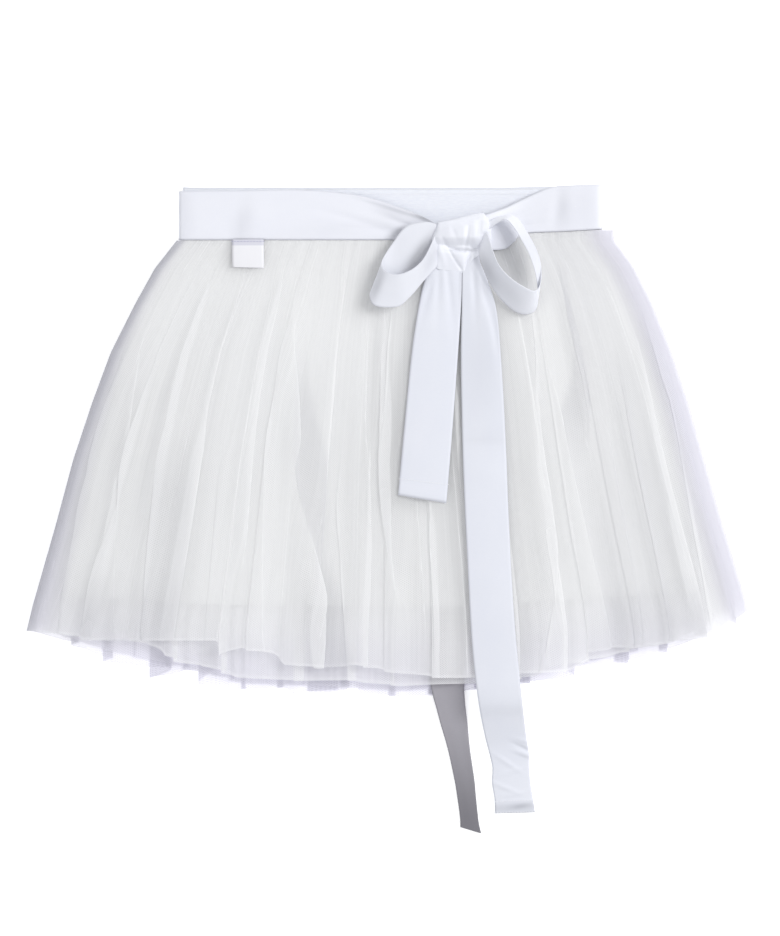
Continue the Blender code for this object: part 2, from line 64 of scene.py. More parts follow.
# Thicknesses and levels
CLOTH_THICKNESS = 1.0
RIBBON_THICKNESS = 0.45
RIBBON_LOWEST = 0.3
LABEL_THICKNESS = 0.4
SEAM_GAP = 0.3
SASH_BACK_LEVEL = 0.5
SASH_FRONT_LEVEL = 8.6
BAND_BACK_LEVEL = 2.05
BAND_FRONT_LEVEL = 7.05
TIE_LEVEL = 4.4
FLOOR_LEVEL = 0.5

# A ribbon end lies this far above the cloth's crests under it, and is thicker at its hem
REST_GAP = 0.4
REST_SAMPLES = 5
HEM_RISE = 0.5

# Waistband
BAND_LEFT = -167.5
BAND_RIGHT = 172.5
BAND_TOP = 264.4
BAND_ABOVE_SASH = 0.5
BAND_WALL = 1.1
BAND_ROWS = 12
BAND_COLUMNS = 120
BAND_LENGTH = 2 * (BAND_RIGHT - BAND_LEFT) * MM

# Folds: how many gathers each has at the waist, how deep the troughs between them are, how
# suddenly they sink at the skirt's sides, how far they may leave their levels, and the share
# down the cloth over which its top is tucked under the sash
GATHERS_PER_FOLD = 2
TROUGH_DEPTH = 0.25
LOFT_EDGE_POWER = 4
LEVEL_ROOM = 0.4
TUCK_REACH = 0.012

# Pleats: how much of a lap's rise shows, on the back between two limits, how softly a pleat
# fades down the cloth and near the sides, how close to a side it comes, the overlap that counts
# as closest, and the width of cloth that the overlaps are given for
LAP_ROOM = 0.19
BACK_LIFT = (-0.25, 0.5)
PLEAT_FADE = 0.15
SIDE_FADE = 0.02
SIDE_ROOM = 0.8
CLOSEST_OVERLAP = 10.0
FULL_WIDTH = 560.0

# What marks a layer's sides and back among its places across, which run from 0 to 1 in front
ON_SIDE = -1.0
ON_BACK = -2.0

# The skirt's left and right outline, and its waist seam, which climbs to the right
SideEdge = namedtuple("SideEdge", "y left right")
SIDE_EDGES = rows_of(SideEdge, [
    (-101, -297.2, 301), (-77.5, -291.5, 295.6), (-57.8, -285.8, 289.9), (-8.6, -271.8, 275.1),
    (40.6, -258.7, 261.2), (89.8, -242.3, 247.2), (129.2, -227.6, 234.1), (168.5, -207.9, 218.5),
    (198, -191.5, 203.8), (221, -173.4, 186.6),
])
SEAM_Y = 221.0
Seam = namedtuple("Seam", "x y")
SEAM = rows_of(Seam, [
    (50, 221), (84, 221.6), (104, 225.4), (113, 226.6), (129, 227.4), (141, 227.8), (174, 229.6),
])

# How a tube's side turns from back to front
Turn = namedtuple("Turn", "inwards up")
SIDE_TURN = rows_of(Turn, [
    (3, 0), (1.7, 0.06), (0.6, 0.22), (0, 0.5), (0.6, 0.78), (1.7, 0.94), (3, 1),
])

# How far the front stands above its lowest level, from waist to hem
Loft = namedtuple("Loft", "down rise")
LOFT = rows_of(Loft, [
    (0, 3), (0.05, 3.3), (0.1, 4.2), (0.2, 7), (0.35, 11), (0.6, 14), (0.85, 13), (1, 10),
])
Gather = namedtuple("Gather", "down share")
GATHER_FADE = rows_of(Gather, [
    (0, 1), (0.05, 0.8), (0.12, 0.4), (0.25, 0.1), (0.4, 0),
])

# Hems: place across as a share from left to right, and height in the frame
Hem = namedtuple("Hem", "across y")
OUTER_FRONT_HEM = rows_of(Hem, [
    (0, -99.6), (0.05, -102.1), (0.1, -107), (0.246, -107), (0.256, -120.1), (0.292, -112.8),
    (0.337, -116.8), (0.359, -126.7), (0.407, -130), (0.448, -126.7), (0.517, -133.3),
    (0.559, -137.4), (0.607, -137.4), (0.752, -131.6), (0.779, -119.3), (0.807, -112.8),
    (0.848, -112.8), (0.91, -106.2), (0.957, -99.6), (1, -84),
])
OUTER_BACK_HEM = rows_of(Hem, [
    (0, -99.6), (0.062, -110.3), (0.09, -118.5), (0.117, -125.9), (0.172, -130), (0.186, -139),
    (0.214, -132.4), (0.244, -130.8), (0.253, -143.1), (0.283, -148), (0.357, -146.4),
    (0.366, -152.1), (0.393, -148), (0.428, -150.5), (0.441, -148), (0.45, -140.6),
    (0.459, -151.3), (0.517, -153.8), (0.559, -152.9), (0.607, -148.8), (0.683, -142.3),
    (0.746, -138.2), (0.76, -129.1), (0.821, -125.9), (0.876, -117.7), (0.931, -105.4),
    (0.986, -89.8), (1, -84),
])
UNDER_FRONT_HEM = rows_of(Hem, [
    (0, -98.8), (0.07, -107), (0.125, -105), (0.175, -115.2), (0.25, -130.8), (0.285, -137.4),
    (0.356, -140.6), (0.448, -139.8), (0.517, -144.7), (0.607, -142.3), (0.683, -138.8),
    (0.785, -123.4), (0.84, -115.2), (0.91, -105.8), (1, -82),
])
UNDER_BACK_HEM = rows_of(Hem, [
    (0, -97.5), (0.1, -116), (0.2, -129), (0.3, -143), (0.4, -145), (0.517, -149), (0.6, -145.5),
    (0.7, -136), (0.8, -123), (0.9, -108), (1, -82),
])
LINING_HEM = rows_of(Hem, [
    (0, -71), (0.2, -77.5), (0.4, -79.5), (0.6, -80), (0.8, -74), (1, -68),
])

# Main folds: crest across the skirt, height as a share of the loft, and lean
Fold = namedtuple("Fold", "across height lean")
OUTER_FOLDS = rows_of(Fold, [
    (0.03, 0.8, -0.1), (0.097, 1, -0.22), (0.172, 0.9, 0.24), (0.248, 0.75, 0.2),
    (0.317, 1, -0.2), (0.386, 0.85, 0.26), (0.441, 0.7, 0.1), (0.51, 1, -0.22),
    (0.577, 0.8, -0.12), (0.655, 1, 0.2), (0.724, 0.85, 0.26), (0.79, 1, -0.24),
    (0.855, 0.8, -0.16), (0.917, 0.95, 0.22), (0.975, 0.8, 0.1),
])
UNDER_FOLDS = rows_of(Fold, [
    (0.07, 1, 0.12), (0.21, 0.8, -0.16), (0.345, 1, 0.18), (0.475, 0.7, -0.1), (0.615, 1, 0.16),
    (0.75, 0.85, -0.18), (0.88, 1, 0.12), (0.96, 0.7, 0),
])
LINING_FOLDS = rows_of(Fold, [
    (0.05, 0, 0), (0.35, 0, 0), (0.65, 0, 0), (0.95, 0, 0),
])

# Pleats: where each lies at the waist and the hem, its half width as a share, how far it
# doubles over itself, how high its lap stands (+ laps to the right), and where it fades
Pleat = namedtuple("Pleat", "top hem width overlap rise start end")
OUTER_PLEATS = rows_of(Pleat, [
    (0.012, 0.043, 0.016, 7, -1.6, 0.25, 1.3),
    (0.03, 0.092, 0.018, 8, 1.8, 0.2, 1.3),
    (0.06, 0.118, 0.014, 5.5, -1.4, 0.3, 1.3),
    (0.118, 0.157, 0.02, 10, -2.2, 0.03, 1.3),
    (0.178, 0.188, 0.015, 7, 1.8, 0.4, 1.3),
    (0.222, 0.236, 0.013, 5, -1.2, 0.45, 1.3),
    (0.266, 0.291, 0.019, 9, 2, 0.02, 0.85),
    (0.3, 0.33, 0.012, 4.5, 1.2, 0.35, 1.3),
    (0.3, 0.408, 0.022, 8, 2, 0.12, 1.3),
    (0.4, 0.437, 0.013, 5, -1.4, 0.5, 1.3),
    (0.47, 0.466, 0.016, 7, -1.6, 0.4, 1.3),
    (0.468, 0.53, 0.018, 8.5, 2, 0.1, 0.9),
    (0.56, 0.574, 0.014, 6, 1.6, 0.55, 1.3),
    (0.61, 0.622, 0.016, 6, -1.4, 0.25, 1.3),
    (0.66, 0.668, 0.013, 5, 1.2, 0.5, 1.3),
    (0.78, 0.706, 0.018, 7, -1.8, 0.02, 1.3),
    (0.748, 0.742, 0.012, 4.5, -1.2, 0.45, 1.3),
    (0.79, 0.806, 0.018, 8.5, 2, 0.3, 1.3),
    (0.858, 0.77, 0.015, 6, -1.8, 0.05, 0.55),
    (0.868, 0.858, 0.013, 5.5, 1.4, 0.4, 1.3),
    (0.905, 0.893, 0.016, 7, -1.6, 0.3, 1.3),
    (0.965, 0.928, 0.017, 8, 1.8, 0.2, 1.3),
    (0.985, 0.952, 0.013, 6, -1.5, 0.15, 1.3),
    (0.99, 0.976, 0.01, 4, 1.2, 0.3, 1.3),
])
UNDER_PLEATS = rows_of(Pleat, [
    (0.03, 0.06, 0.02, 8, 0.9, 0.15, 1.3),
    (0.09, 0.132, 0.018, 8, -0.9, 0.25, 1.3),
    (0.2, 0.215, 0.022, 10, 1, 0.05, 1.3),
    (0.258, 0.262, 0.016, 7, -0.8, 0.4, 1.3),
    (0.33, 0.352, 0.02, 9, 0.9, 0.2, 1.3),
    (0.452, 0.448, 0.016, 7.5, -0.9, 0.3, 1.3),
    (0.515, 0.505, 0.018, 8, 0.9, 0.2, 1.3),
    (0.59, 0.607, 0.02, 9, -1, 0.25, 1.3),
    (0.7, 0.683, 0.017, 7.5, 0.9, 0.3, 1.3),
    (0.77, 0.782, 0.02, 9, -1, 0.2, 1.3),
    (0.85, 0.838, 0.016, 7, 0.8, 0.35, 1.3),
    (0.93, 0.905, 0.018, 8, -0.9, 0.2, 1.3),
    (0.975, 0.96, 0.014, 6, 0.8, 0.15, 1.3),
])
BACK_PLEATS = rows_of(Pleat, [
    (0.05, 0.062, 0.018, 9, 0.3, 0.2, 1.3),
    (0.112, 0.108, 0.016, 10, -0.3, 0.4, 1.3),
    (0.185, 0.181, 0.026, 20, 0.3, 0.1, 1.3),
    (0.235, 0.247, 0.024, 18, -0.3, 0.35, 1.3),
    (0.29, 0.296, 0.012, 6, 0.3, 0.25, 1.3),
    (0.345, 0.348, 0.012, 7, 0.3, 0.05, 1.3),
    (0.39, 0.407, 0.034, 27, -0.3, 0.2, 1.3),
    (0.5, 0.503, 0.014, 8, 0.3, 0.45, 1.3),
    (0.59, 0.566, 0.024, 18, -0.3, 0.15, 1.3),
    (0.64, 0.622, 0.014, 8, 0.3, 0.3, 1.3),
    (0.7, 0.684, 0.022, 16, 0.3, 0.1, 1.3),
    (0.76, 0.752, 0.016, 9, -0.3, 0.25, 1.3),
    (0.835, 0.822, 0.022, 15, 0.3, 0.4, 1.3),
    (0.9, 0.88, 0.016, 9, -0.3, 0.15, 1.3),
    (0.96, 0.936, 0.014, 6, 0.3, 0.3, 1.3),
])
UNDER_BACK_SHIFT = 0.029
UNDER_BACK_PLEATS = [
    pleat._replace(
        top=pleat.top + UNDER_BACK_SHIFT,
        hem=pleat.hem + UNDER_BACK_SHIFT,
        overlap=pleat.overlap / 2,
    )
    for pleat in BACK_PLEATS
]

# Strips of painted shade on the net, along its doubled folds and shaded bands: where each lies
# at the waist and the hem, its half width as a share, the share of that which is its soft side,
# where it fades, and how dark
Strip = namedtuple("Strip", "top hem wide soft start end shade")
OUTER_STRIPS = rows_of(Strip, [
    (0.006, 0.026, 0.024, 0.6, 0.15, 1.2, 0.7),
    (0.11, 0.11, 0.12, 0.7, 0.8, 1.2, 0.85),
    (0.87, 0.87, 0.09, 0.4, 0.82, 1.2, 0.8),
    (0.135, 0.175, 0.018, 0.45, 0.45, 1.02, 0.42),
    (0.305, 0.432, 0.02, 0.5, 0.22, 1.2, 0.7),
    (0.452, 0.545, 0.014, 0.8, 0.08, 0.85, 0.26),
    (0.862, 0.745, 0.014, 0.4, 0.02, 0.6, 0.85),
    (0.77, 0.7, 0.01, 0.8, 0.05, 1.2, 0.14),
    (0.8, 0.812, 0.014, 0.8, 0.4, 1.2, 0.22),
    (0.92, 0.9, 0.016, 0.9, 0.15, 1.2, 0.16),
    (0.89, 0.85, 0.095, 1, -0.3, 1.4, 0.6),
    (0.5, 0.5, 0.6, 0.1, -0.3, 0.2, 0.16),
])
UNDER_STRIPS = rows_of(Strip, [
    (0.08, 0.1, 0.022, 0.6, 0.5, 1.2, 0.2),
    (0.17, 0.175, 0.02, 0.5, 0.5, 1.2, 0.18),
    (0.47, 0.495, 0.018, 0.6, 0.6, 1.2, 0.2),
    (0.61, 0.615, 0.024, 0.6, 0.6, 1.2, 0.15),
    (0.82, 0.826, 0.03, 0.6, 0.6, 1.2, 0.2),
])
LINING_PLEATS = rows_of(Pleat, [
    (0.16, 0.1, 0.03, 3, 0.5, 0.05, 0.9),
    (0.3, 0.27, 0.034, 3, -0.5, 0.1, 1.2),
    (0.47, 0.5, 0.03, 3, 0.5, 0.05, 0.8),
    (0.63, 0.66, 0.034, 3, -0.5, 0.15, 1.2),
    (0.8, 0.86, 0.03, 3, 0.5, 0.05, 0.9),
])

# How far an inner layer's sides lie inside the outer tulle's
Inset = namedtuple("Inset", "y left right")
NO_INSET = [Inset(-110.0, 0.0, 0.0), Inset(230.0, 0.0, 0.0)]
UNDER_INSET = [Inset(-110.0, 7.0, 7.0), Inset(90.0, 5.0, 5.0), Inset(221.0, 3.0, 3.0)]
LINING_INSET = rows_of(Inset, [
    (-77.5, 21, 35), (0, 15, 29), (90, 11, 21), (200, 7, 8), (221, 6, 6),
])

# One layer of the skirt: its levels, how low and high its folds stand as shares of the loft, how
# deep its top is tucked, its fine gathers and wrinkles, how finely it is divided, and its cut
Layer = namedtuple(
    "Layer",
    "name back_level front_level low_share high_share front_hem back_hem folds inset pleats "
    "back_pleats strips tuck gathers wrinkles columns back_columns rows seed cut_width cut_length",
)
TULLE_OUTER = Layer(
    name="outer_tulle",
    back_level=0.5,
    front_level=9.0,
    low_share=0.3,
    high_share=1.0,
    front_hem=OUTER_FRONT_HEM,
    back_hem=OUTER_BACK_HEM,
    folds=OUTER_FOLDS,
    inset=NO_INSET,
    pleats=OUTER_PLEATS,
    back_pleats=BACK_PLEATS,
    strips=OUTER_STRIPS,
    tuck=1.5,
    gathers=64,
    wrinkles=56,
    columns=640,
    back_columns=260,
    rows=70,
    seed=11,
    cut_width=1.34,
    cut_length=0.365,
)
TULLE_UNDER = Layer(
    name="under_tulle",
    back_level=1.8,
    front_level=7.2,
    low_share=0.0,
    high_share=0.3,
    front_hem=UNDER_FRONT_HEM,
    back_hem=UNDER_BACK_HEM,
    folds=UNDER_FOLDS,
    inset=UNDER_INSET,
    pleats=UNDER_PLEATS,
    back_pleats=UNDER_BACK_PLEATS,
    strips=UNDER_STRIPS,
    tuck=0.7,
    gathers=48,
    wrinkles=34,
    columns=440,
    back_columns=220,
    rows=54,
    seed=23,
    cut_width=1.24,
    cut_length=0.36,
)
LINING = Layer(
    name="satin_lining",
    back_level=3.1,
    front_level=5.7,
    low_share=0.0,
    high_share=0.0,
    front_hem=LINING_HEM,
    back_hem=LINING_HEM,
    folds=LINING_FOLDS,
    inset=LINING_INSET,
    pleats=LINING_PLEATS,
    back_pleats=[],
    strips=[],
    tuck=0.2,
    gathers=30,
    wrinkles=0,
    columns=300,
    back_columns=100,
    rows=44,
    seed=37,
    cut_width=1.06,
    cut_length=0.30,
)

# Ribbon stretches: the place and level of the ribbon's two edges, a and b
Section = namedtuple("Section", "ax ay az bx by bz")
SASH_FRONT_LEFT = rows_of(Section, [
    (39.9, 234, 14.4, 39.9, 221.6, 14.4),
    (30, 239.2, 12.6, 30, 221.3, 12.6),
    (18.5, 244, 10.4, 18.5, 221.3, 10.2),
    (-6.2, 253, SASH_FRONT_LEVEL, -6.2, 221.3, SASH_FRONT_LEVEL),
    (-30.8, 258.7, SASH_FRONT_LEVEL, -30.8, 221.3, SASH_FRONT_LEVEL),
    (-71.8, 262, SASH_FRONT_LEVEL, -71.8, 221.3, SASH_FRONT_LEVEL),
    (-120, 261.4, SASH_FRONT_LEVEL, -120, 221.3, SASH_FRONT_LEVEL),
    (-168.5, 261, SASH_FRONT_LEVEL, -168.5, 221.3, SASH_FRONT_LEVEL),
])
SASH_BACK = rows_of(Section, [
    (-170.4, 261, 7.4, -170.4, 221.3, 7.4),
    (-171.2, 261, 4.6, -171.2, 221.3, 4.6),
    (-170.4, 261, 1.6, -170.4, 221.3, 1.6),
    (-168.5, 261, SASH_BACK_LEVEL, -168.5, 221.3, SASH_BACK_LEVEL),
    (50, 263.5, SASH_BACK_LEVEL, 50, 221.3, SASH_BACK_LEVEL),
    (112, 265, SASH_BACK_LEVEL, 112, 225, SASH_BACK_LEVEL),
    (173.5, 266.3, SASH_BACK_LEVEL, 173.5, 229.9, SASH_BACK_LEVEL),
    (175.4, 266.3, 1.6, 175.4, 229.9, 1.6),
    (176.2, 266.3, 4.6, 176.2, 229.9, 4.6),
    (175.4, 266.3, 7.4, 175.4, 229.9, 7.4),
])
SASH_FRONT_RIGHT = rows_of(Section, [
    (173.5, 266.3, SASH_FRONT_LEVEL, 173.5, 229.9, SASH_FRONT_LEVEL),
    (141.5, 265.4, SASH_FRONT_LEVEL, 141.5, 228, SASH_FRONT_LEVEL),
    (129.2, 262.6, SASH_FRONT_LEVEL, 129.2, 227.6, SASH_FRONT_LEVEL),
    (112.8, 255.4, 9.2, 112.8, 226.4, 9),
    (104, 251, 10.2, 104, 219.5, 11),
    (96.4, 247.2, 11.6, 96.4, 213.5, 13.4),
    (84, 242.4, 14.6, 84, 212.4, 14.6),
    (77, 240, 15, 77, 214, 14.8),
])
LOOP_LEFT = rows_of(Section, [
    (39.9, 233.5, 18.4, 39.9, 218.5, 18.4),
    (29.9, 235.2, 18.2, 29.9, 203, 18.2),
    (15.2, 231.6, 18.2, 15.2, 185, 18.2),
    (4.2, 217.8, 18.7, 0.5, 175.3, 18.4),
    (-4.4, 203, 22, -13.6, 178, 21.4),
    (-2.4, 195, 27, -11, 166.8, 24.6),
    (7.4, 191.6, 29, 7.6, 165.4, 25.6),
    (19, 195.4, 28, 18.4, 173.6, 25.2),
    (28.5, 203.5, 25.6, 28.6, 185.6, 23.2),
    (34.8, 214.9, 22.6, 34.6, 192.4, 18.6),
    (40.6, 228, 20, 39.4, 197.6, 15),
    (45, 232, 17.4, 43, 206, 13.2),
])
LOOP_RIGHT = rows_of(Section, [
    (78, 228, 20, 75, 216, 17),
    (82, 224, 24, 74.6, 209.6, 18.8),
    (85.6, 212, 27, 78, 198.4, 18.4),
    (90.8, 199, 30, 83.8, 184.8, 18.4),
    (101, 188, 32, 93.2, 171.6, 18.4),
    (112.4, 180.6, 33, 104.8, 161.6, 18.4),
    (120, 178.2, 32, 115.6, 159.8, 18.6),
    (124.4, 184, 29, 122.2, 166.4, 20.4),
    (125.4, 198, 23, 121.8, 186, 26.4),
    (122, 211.4, 20, 117, 204, 30.6),
    (115.4, 224.4, 19.4, 109.6, 218.8, 30),
    (108.4, 235.8, 19.6, 102.6, 230.4, 28),
    (101.6, 240.4, 20, 96.6, 236.4, 26),
    (92, 239.6, 19, 90, 234, 23),
    (84.2, 236, 17.6, 83.6, 229.6, 20),
    (79, 233, 16.8, 78.6, 226.6, 18),
])

# Ribbon ends that lie on the cloth: the edges in plan, and a level where a row states one
Lying = namedtuple("Lying", "ax ay bx by level")
TAIL_SHORT = rows_of(Lying, [
    (36.4, 212.8, 60.9, 212.8, None),
    (37.6, 203, 61, 203, None),
    (31.4, 190, 60.9, 190, None),
    (26.6, 171.8, 60.4, 171.8, None),
    (20.1, 130.8, 57.8, 130.8, None),
    (13.5, 65.2, 52.9, 65.2, None),
    (8.6, 11.9, 48, 5.3, None),
])
TAIL_LONG = rows_of(Lying, [
    (61.3, 212.8, 75.5, 212.8, None),
    (61.3, 203, 75.9, 203, None),
    (61.2, 188.2, 81.6, 188.2, None),
    (60.7, 163.6, 89, 163.6, None),
    (60, 122.6, 92.8, 122.6, None),
    (61.1, 57, 96.4, 57, None),
    (62.8, 8, 98.2, 8, None),
    (65.2, -41.4, 100.5, -41.4, None),
    (67.2, -82, 102.9, -82, None),
    (69, -110, 105.2, -110, None),
    (70.9, -130, 107.2, -130, None),
    (72.8, -146, 108.9, -146, None),
    (74.6, -159, 110.4, -159, 17.5),
    (76.9, -171.8, 111.9, -171, 10.5),
    (80.8, -189.5, 114.3, -188.5, 3.6),
    (83.6, -200, 116.2, -200, 1.4),
    (86.2, -212, 116.3, -211, FLOOR_LEVEL),
    (86, -225.1, 117.5, -225, FLOOR_LEVEL),
    (88.1, -238.8, 119.5, -237.5, FLOOR_LEVEL),
    (88.4, -249.8, 121.2, -248.9, FLOOR_LEVEL),
])
TIE_UNDER = rows_of(Lying, [
    (34, 216, 61, 216, TIE_LEVEL),
    (34.8, 40, 61.9, 40, TIE_LEVEL),
    (35, -30, 62.2, -30, TIE_LEVEL),
    (34.9, -80, 62.5, -80, TIE_LEVEL),
    (34.6, -107, 62.7, -107, 4.2),
    (34.4, -124, 62.8, -124, 4),
    (34.8, -138, 62.9, -138, 3.6),
    (37, -152, 63.3, -152, 3),
    (40, -163, 64.2, -163, 1.7),
    (43.5, -176, 65.8, -176, 0.7),
    (49.6, -197.2, 67.8, -197.2, FLOOR_LEVEL),
    (55, -222, 71.4, -222, FLOOR_LEVEL),
    (57, -234, 72.6, -235, FLOOR_LEVEL),
    (59.5, -252, 74.8, -256, FLOOR_LEVEL),
    (59.9, -261.2, 77, -266.3, FLOOR_LEVEL),
])
LABEL = rows_of(Lying, [
    (-127.5, 221.4, -101.5, 221.4, 10.2),
    (-127.4, 209, -101.2, 209, None),
    (-127, 198.4, -101, 197.6, None),
])

# Soft dents (-) and swells (+) pressed into a ribbon: middle, half lengths, turn in degrees
Dent = namedtuple("Dent", "x y long wide turn height")
SASH_DENTS = rows_of(Dent, [
    (-168, 241, 30, 3.4, 90, -1.6),
    (175, 248, 30, 3, 90, -0.8),
    (-120, 228, 16, 5, 70, -0.7),
    (-108, 240, 20, 7, 84, 0.4),
    (-60, 236, 30, 5, 8, -0.3),
    (-22, 236, 34, 3, -16, -0.8),
    (-4, 229, 30, 2.6, -6, -0.7),
    (14, 234, 18, 2.2, -20, -1),
    (18, 226, 18, 2.2, -2, -0.8),
    (139, 246, 16, 5, 82, -0.9),
    (150, 246, 18, 4, 96, 0.6),
    (104, 240, 18, 2.4, 22, -0.9),
    (112, 233, 20, 2.2, 8, -0.6),
])
TAIL_SHORT_DENTS = rows_of(Dent, [
    (42, 190, 26, 3, 88, -1),
    (50, 186, 30, 2.6, 96, -0.8),
    (34, 178, 20, 2.4, 74, -0.7),
    (36, 150, 8, 26, 80, 0.5),
    (34, 96, 6, 24, 84, -0.4),
    (30, 40, 9, 24, 96, 0.5),
])
TAIL_LONG_DENTS = rows_of(Dent, [
    (71, 190, 28, 2.4, 92, -1),
    (80, 176, 30, 2.6, 104, -0.8),
    (88, 150, 40, 3, 97, -0.7),
    (78, 57, 5, 26, 92, -0.8),
    (80, 30, 9, 26, 86, 0.6),
    (82, -60, 12, 26, 94, 0.5),
    (112, -190, 8, 1.5, -14, 0.8),
    (112, -196.5, 9, 1.4, -26, -0.6),
    (113, -201, 8, 1.3, -20, 0.7),
    (98, -208, 13, 1.8, -34, 0.6),
    (104, -215, 12, 1.6, 18, 0.5),
    (95, -228, 13, 1.5, -22, 0.7),
    (104, -234, 14, 1.6, 10, 0.5),
])
TIE_DENTS = rows_of(Dent, [
    (52, -180, 16, 5, 104, 0.3),
    (58, -208, 26, 5.5, 102, 0.35),
    (66, -244, 24, 4.6, 100, 0.3),
])
NO_DENTS = []

# The knot: sections from its left side to its right, and the folds pressed into its crown
KnotSection = namedtuple("KnotSection", "x y_low y_high crown")
KNOT = rows_of(KnotSection, [
    (35.6, 205, 222, 19), (38.4, 199, 229, 21), (41.4, 196.5, 234.6, 22.4),
    (50, 195.5, 236.6, 24.4), (58, 194, 238.4, 25.2), (62.4, 193.6, 239.6, 25.4),
    (66, 199, 240.5, 25.4), (70, 205, 241.4, 25.2), (75, 208.5, 242.8, 24.2),
    (79, 210.5, 242.6, 22.4), (82.6, 215, 238, 20), (85, 221, 232, 17),
])
KNOT_BASE = 13.6
KNOT_COLUMNS = 64
KNOT_ROWS = 60
KNOT_CUT = (0.09, 0.045)
CROWN_TURN = 0.22
CROWN_END = 223.0
CROWN_FADE = 12.0
FLAP_RISE = 4.4
FLAP_SIDES = (34.0, 74.0)
FLAP_FADES = (9.0, 8.0, 14.0)
Crease = namedtuple("Crease", "ax ay bx by wide height")
KNOT_CREASES = rows_of(Crease, [
    (49.6, 214.4, 57.8, 212.2, 1, -2),
    (56, 212.4, 70, 211.8, 1.1, -1.8),
    (68, 211.9, 83.2, 214.4, 1.2, -1.6),
    (50, 217.4, 64, 215.6, 2.2, 1),
    (66, 230.8, 63.6, 214, 1.5, -1.3),
    (71.8, 234, 71.4, 215, 2.6, 0.8),
    (75.9, 234.9, 75, 214.6, 1.4, -1.1),
    (79, 224, 79.6, 216, 2.2, -4),
    (44.7, 221.8, 50.4, 212.6, 1.4, -1.2),
    (50.4, 212, 55.4, 203.4, 1.1, -0.9),
    (55.4, 203.4, 61.6, 195, 1.1, -1),
    (58.4, 208.6, 62.4, 199.6, 3.6, 0.9),
    (68.6, 210.6, 63.8, 197.6, 1.2, -1.8),
    (44, 231, 62, 236.4, 2.6, 0.5),
    (60, 236, 64, 221, 3.4, 0.4),
    (52, 232, 57, 219, 1.8, -0.4),
    (42, 216, 47, 200, 2, 0.6),
])

# Soft places of painted shade on a ribbon, inside its loops and creases and where other parts
# shadow it: middle, half lengths, turn, how dark, and on which stretch of the ribbon, as shares
# along it
Spot = namedtuple("Spot", "x y long wide turn dark first last")
SASH_SPOTS = rows_of(Spot, [
    (9, 244.6, 30, 1.5, -18, 0.45, 0, 0.5),
    (31, 238, 9, 2, -24, 0.75, 0, 0.5),
    (3, 242, 13, 5, -20, 0.12, 0, 0.5),
    (9, 228, 9, 2.6, 38, 0.6, 0, 0.5),
    (-120, 234, 18, 6, 76, 0.2, 0, 0.5),
    (-40, 230, 46, 7, 6, 0.08, 0, 0.5),
    (108, 253.6, 24, 1.4, 25.6, 0.45, 0.5, 1),
    (150, 246, 34, 26, 0, 0.18, 0.5, 1),
    (143, 246, 14, 4, 84, 0.08, 0.5, 1),
])
LOOP_LEFT_SPOTS = rows_of(Spot, [
    (28, 212, 17, 4.6, 51, 0.85, 0, 0.45),
    (20, 200, 9, 4.6, 40, 0.45, 0, 0.45),
    (-8, 182, 15, 3.6, 68, 0.45, 0.4, 1),
    (35, 204, 17, 5, 66, 0.28, 0.6, 1),
    (10, 198, 60, 60, 0, 0.18, 0, 1),
])
LOOP_RIGHT_SPOTS = rows_of(Spot, [
    (99, 177, 20, 7, -50, 0.25, 0, 0.42),
    (80.6, 197, 18, 5.4, -66, 0.6, 0, 0.35),
    (114, 214, 34, 12, -60, 0.34, 0.5, 1),
])
KNOT_SPOTS = rows_of(Spot, [
    (79.4, 220, 6, 2.6, 80, 0.85, 0, 1),
    (79, 236, 9, 5, 90, 0.22, 0, 1),
    (66, 212, 14, 1.1, 0, 0.5, 0, 1),
    (75, 226, 14, 3.4, 88, 0.14, 0, 1),
    (67, 204, 7, 1.6, 70, 0.3, 0, 1),
])
SHORT_SPOTS = [
    Spot(60.4, 180.0, 26.0, 1.2, 90.0, 0.5, 0.0, 1.0),
]
LONG_SPOTS = rows_of(Spot, [
    (74, 205, 7, 8, 0, 0.28, 0, 1),
    (78, 124, 60, 22, 90, 0.18, 0, 1),
    (78, 57, 5, 24, 92, 0.08, 0, 1),
    (104, -245.4, 70, 4.4, 2, 0.36, 0, 1),
    (110, -243.6, 9, 2.2, 8, 0.4, 0, 1),
    (112, -195, 9, 1.3, -24, 0.25, 0, 1),
    (112, -203, 8, 1.1, -20, 0.2, 0, 1),
])
# The tie is painted darker towards its end, as painted shade
TIE_SPOTS = [
    Spot(64.0, -262.0, 62.0, 60.0, 90.0, 0.98, 0.0, 1.0),
]

# Where more gathers of the net lie over each other
NET_THICK = [Spot(49.0, -112.0, 15.0, 46.0, 0.0, 0.9, 0.0, 1.0)]
NET_THICK_GAIN = 2.5

# How much painted deep shade and painted lilac shade the net has at its outline, how dense it is
# there, and how much painted lilac shade it has past the lining and on the back: how much, and the
# distance at which the change starts and over which it runs
Change = namedtuple("Change", "most start width")
EDGE_DEEP = Change(0.66, 3.0, 8.0)
EDGE_LILAC = Change(0.8, 8.0, 22.0)
EDGE_DENSE_LEFT = Change(4.0, 4.0, 14.0)
EDGE_DENSE_RIGHT = Change(5.0, 6.0, 18.0)
PAST_LEFT = Change(0.6, -8.0, 24.0)
PAST_RIGHT = Change(0.15, -4.0, 26.0)
PAST_HEM = Change(0.12, -10.0, 60.0)
BACK_PAST_HEM = Change(0.8, 12.0, 40.0)
BACK_LILAC = 0.15
BACK_DENSE = 2.4
STRIP_FADE = 0.2
FOLD_LINE = 0.75
HEM_LINE = 0.6

# Net
NET_PITCH = 0.0015
NET_STREAKS = 0.025
NET_BANDS = 0.05
CLOSE_COVER = 0.1
FOLD_COVER = 0.25
NET_WHITE = (0.978, 0.98, 0.984)
NET_FOLDED = (0.985, 0.985, 0.99)
# Painted shade that the net's colour is blended towards: grey in its strips, lilac past the lining,
# at its right edge and on its back, and deep at its left outline
NET_TINTS = {
    "shade": (0.80, 0.80, 0.82),
    "lilac_shade": (0.83, 0.82, 0.895),
    "deep_shade": (0.50, 0.50, 0.55),
}
NET_GLOW = 0.28
NET_BOUNCES = 32

